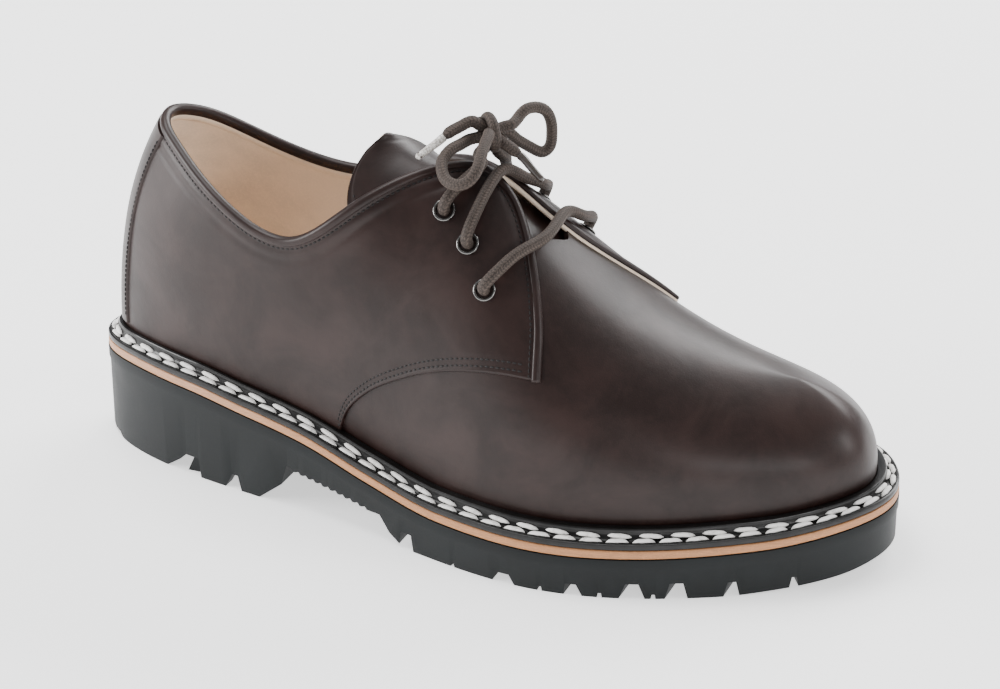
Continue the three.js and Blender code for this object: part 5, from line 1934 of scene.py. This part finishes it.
def tread_cuts():
    """Grooves that run in from both edges, nicks in the lugs and two lengthwise channels."""
    cuts = []
    for along, floor_width, root, shift, depth in GROOVES:
        x = along * SOLE_LENGTH
        floor_width, root, shift = (GROOVE_WIDTH * width for width in (floor_width, root, shift))
        sizes = (floor_width, root, depth * GROOVE_DEPTH, shift)
        for side in (-1, 1):
            bend = (x, side * GROOVE_INNER * BALL_WIDTH)
            inner = (GROOVE_INNER - GROOVE_REACH * 0.5) * BALL_WIDTH
            end = (x - GROOVE_SLANT * BALL_WIDTH * 0.5, side * inner)
            cuts.append(groove((x, side * BALL_WIDTH), bend, *sizes))
            cuts.append(groove(bend, end, *sizes))
    for along in NICKS:
        station = HALF / math.pi * math.acos(1 - 2 * along)
        for turned in (station, ROUND - station):
            ends = edge_point(turned, -BAR_BESIDE), edge_point(turned, float(NICK_REACH))
            cuts.append(groove(*ends, NICK, NICK * ROOT_SHARE, NICK))
    width = CHANNEL["width"] * GROOVE_WIDTH
    for side in (-1, 1):
        y = side * CHANNEL["offset"] * BALL_WIDTH
        ends = (FOREFOOT_START * SOLE_LENGTH, y), (CHANNEL_END * SOLE_LENGTH, y)
        cuts.append(groove(*ends, width, width * ROOT_SHARE, CHANNEL["depth"] * GROOVE_DEPTH))
    return cuts


def arch_cut():
    """The space under the ribbed shank, between the heel breast and the forefoot."""
    start = FOREFOOT_START * SOLE_LENGTH
    outline = [(BREAST[0][0] * SOLE_LENGTH, -1)]
    outline += [(along * SOLE_LENGTH, height * HEEL_HEIGHT) for along, height in BREAST]
    top = outline[-1]
    ribs = math.floor((start - top[0]) / RIB_PITCH) - 1
    for i in range(ribs):
        x = top[0] + (i + 0.6) * RIB_PITCH
        root = top[1] + (SHANK_HEIGHT - top[1]) * (x - top[0]) / (start - top[0])
        outline += [(x, root), (x + 0.3 * RIB_PITCH, root - RIB), (x + 0.6 * RIB_PITCH, root - RIB)]
    outline += [(start, SHANK_HEIGHT), (start + 4, 4), (start + 10, 0), (start + 10, -1)]
    count = len(outline)
    points = [(x, side * BALL_WIDTH, z) for side in (-1, 1) for x, z in outline]
    faces = [tuple(range(count)), tuple(range(2 * count - 1, count - 1, -1))]
    faces += [(k, k + count, (k + 1) % count + count, (k + 1) % count) for k in range(count)]
    return points, faces


# Room between the insole and the upper's inside, besides CLEAR
INSOLE_GAP = 0.4

# Sizes of the tread's mesh work, in millimetres and radians
CUT_WELD = 1e-4
TREAD_WELD = 0.01
FLAT_ANGLE = math.radians(0.4)
SHARP_ANGLE = 0.5
BEVEL = 0.32


def closed_mesh(points, faces):
    mesh = bpy.data.meshes.new("cut")
    mesh.from_pydata([tuple(p) for p in points], [], faces)
    with edited(mesh) as work:
        bmesh.ops.remove_doubles(work, verts=work.verts, dist=CUT_WELD)
        bmesh.ops.recalc_face_normals(work, faces=work.faces)
    return mesh


class SHOE_OT_sole(bpy.types.Operator):
    """Makes the tan midsole, the insole and the lugged rubber sole"""

    bl_idname = "shoe.sole"
    bl_label = "Sole"

    def execute(self, context):
        self.midsole()
        self.insole()
        self.tread(context)
        return {"FINISHED"}

    def midsole(self):
        section = [
            (0.45, midsole_bottom, 0.0), (0.24, midsole_bottom, 0.18), (0.18, midsole_bottom, 0.9),
            (0.16, midsole_bottom, 1.5), (0.18, midsole_bottom, 2.1), (0.24, midsole_top, -0.18),
            (0.45, midsole_top, 0.0),
        ]
        stock = Stock()
        edged_slab(stock, 200, section)
        stock.make("midsole_layer", ["midsole"], ["midsole"])

    def insole(self):
        def inset(extra):
            return lambda station: LEDGES(station) + VAMP_WALL + CLEAR + INSOLE_GAP + extra

        section = [(inset(0.3), welt_bottom, 0.0), (inset(0), welt_bottom, 0.4)]
        section += [(inset(0), welt_bottom, INSOLE - 0.7), (inset(0.6), welt_bottom, INSOLE)]
        stock = Stock()
        edged_slab(stock, 120, section, across=16, crown=-0.6)
        stock.make("sock_lining", ["lining"], ["insole"])

    def tread(self, context):
        def lip_bottom(x):
            return rubber_top(x) - LIP_HEIGHT

        body = Stock()
        edged_slab(body, 180, [(LIP_STEP, ground, 0.0), (LIP_STEP, lip_bottom, 0.2)], across=6)
        rim = Stock()
        edged_slab(rim, 180, [(0.0, lip_bottom, 0.0), (0.0, rubber_top, 0.0)], across=6)
        body, rim = [closed_mesh(np.concatenate(s.points), s.faces) for s in (body, rim)]
        cutters = [closed_mesh(*cut) for cut in [*tread_cuts(), arch_cut()]]
        steps = [(cutter, "DIFFERENCE") for cutter in cutters] + [(rim, "UNION")]
        mesh = self.combined(context, body, steps)
        with edited(mesh) as work:
            self.soften_edges(work)
            for vert in work.verts:
                vert.co = (vert.co + Vector(TO_FRAME)) * MM
        mesh.materials.clear()
        settle("tread", mesh, ["rubber"], ["outsole"], sharp=30)

    def combined(self, context, body, steps):
        """The body after each step: another mesh and whether it cuts or joins."""
        holder = bpy.data.objects.new("tread_work", body)
        used = [holder]
        context.scene.collection.objects.link(holder)
        for mesh, operation in steps:
            helper = bpy.data.objects.new("tread_cut", mesh)
            context.scene.collection.objects.link(helper)
            used.append(helper)
            cut = holder.modifiers.new("cut", "BOOLEAN")
            cut.operation, cut.solver, cut.object = operation, "MANIFOLD", helper
        graph = context.evaluated_depsgraph_get()
        made = bpy.data.meshes.new_from_object(holder.evaluated_get(graph))
        for done in used:
            bpy.data.objects.remove(done)
        return made

    def soften_edges(self, work):
        """Joins flat faces and gives the sharp edges a small round bevel."""
        bmesh.ops.remove_doubles(work, verts=work.verts, dist=TREAD_WELD)
        bmesh.ops.dissolve_limit(work, angle_limit=FLAT_ANGLE, verts=work.verts, edges=work.edges)
        sharp = [
            edge for edge in work.edges
            if len(edge.link_faces) == 2 and edge.calc_face_angle(0) > SHARP_ANGLE
        ]
        bmesh.ops.bevel(
            work, geom=sharp, offset=BEVEL, offset_type="OFFSET", segments=2, profile=0.5,
            affect="EDGES", clamp_overlap=True,
        )
        bmesh.ops.triangulate(work, faces=[face for face in work.faces if len(face.verts) > 4])


class SHOE_PT_panel(bpy.types.Panel):
    """Lists the shoe's steps and settings"""

    bl_idname = "SHOE_PT_panel"
    bl_label = "Derby shoe"
    bl_space_type = "VIEW_3D"
    bl_region_type = "UI"
    bl_category = "Shoe"

    def draw(self, context):
        for step in STEPS:
            self.layout.operator(step.bl_idname)
        for name in SETTINGS:
            group = getattr(context.scene, name)
            box = self.layout.box()
            for field in group.bl_rna.properties.keys():
                if field not in ("rna_type", "name"):
                    box.prop(group, field)


STEPS = [
    SHOE_OT_stage, SHOE_OT_lace, SHOE_OT_upper, SHOE_OT_seams, SHOE_OT_tongue, SHOE_OT_eyelets,
    SHOE_OT_welt, SHOE_OT_sole,
]
SETTINGS = {
    "shoe_colours": ShoeColours,
    "shoe_stitching": ShoeStitching,
    "shoe_lace": ShoeLaceSizes,
    "shoe_stage": ShoeStage,
}


def register():
    for kind in [*SETTINGS.values(), *STEPS, SHOE_PT_panel]:
        bpy.utils.register_class(kind)
    for name, kind in SETTINGS.items():
        setattr(bpy.types.Scene, name, PointerProperty(type=kind))


def unregister():
    for name in SETTINGS:
        delattr(bpy.types.Scene, name)
    for kind in [SHOE_PT_panel, *STEPS, *SETTINGS.values()]:
        bpy.utils.unregister_class(kind)


def main():
    register()
    for step in STEPS:
        group, name = step.bl_idname.split(".")
        getattr(getattr(bpy.ops, group), name)()


if __name__ == "__main__":
    main()
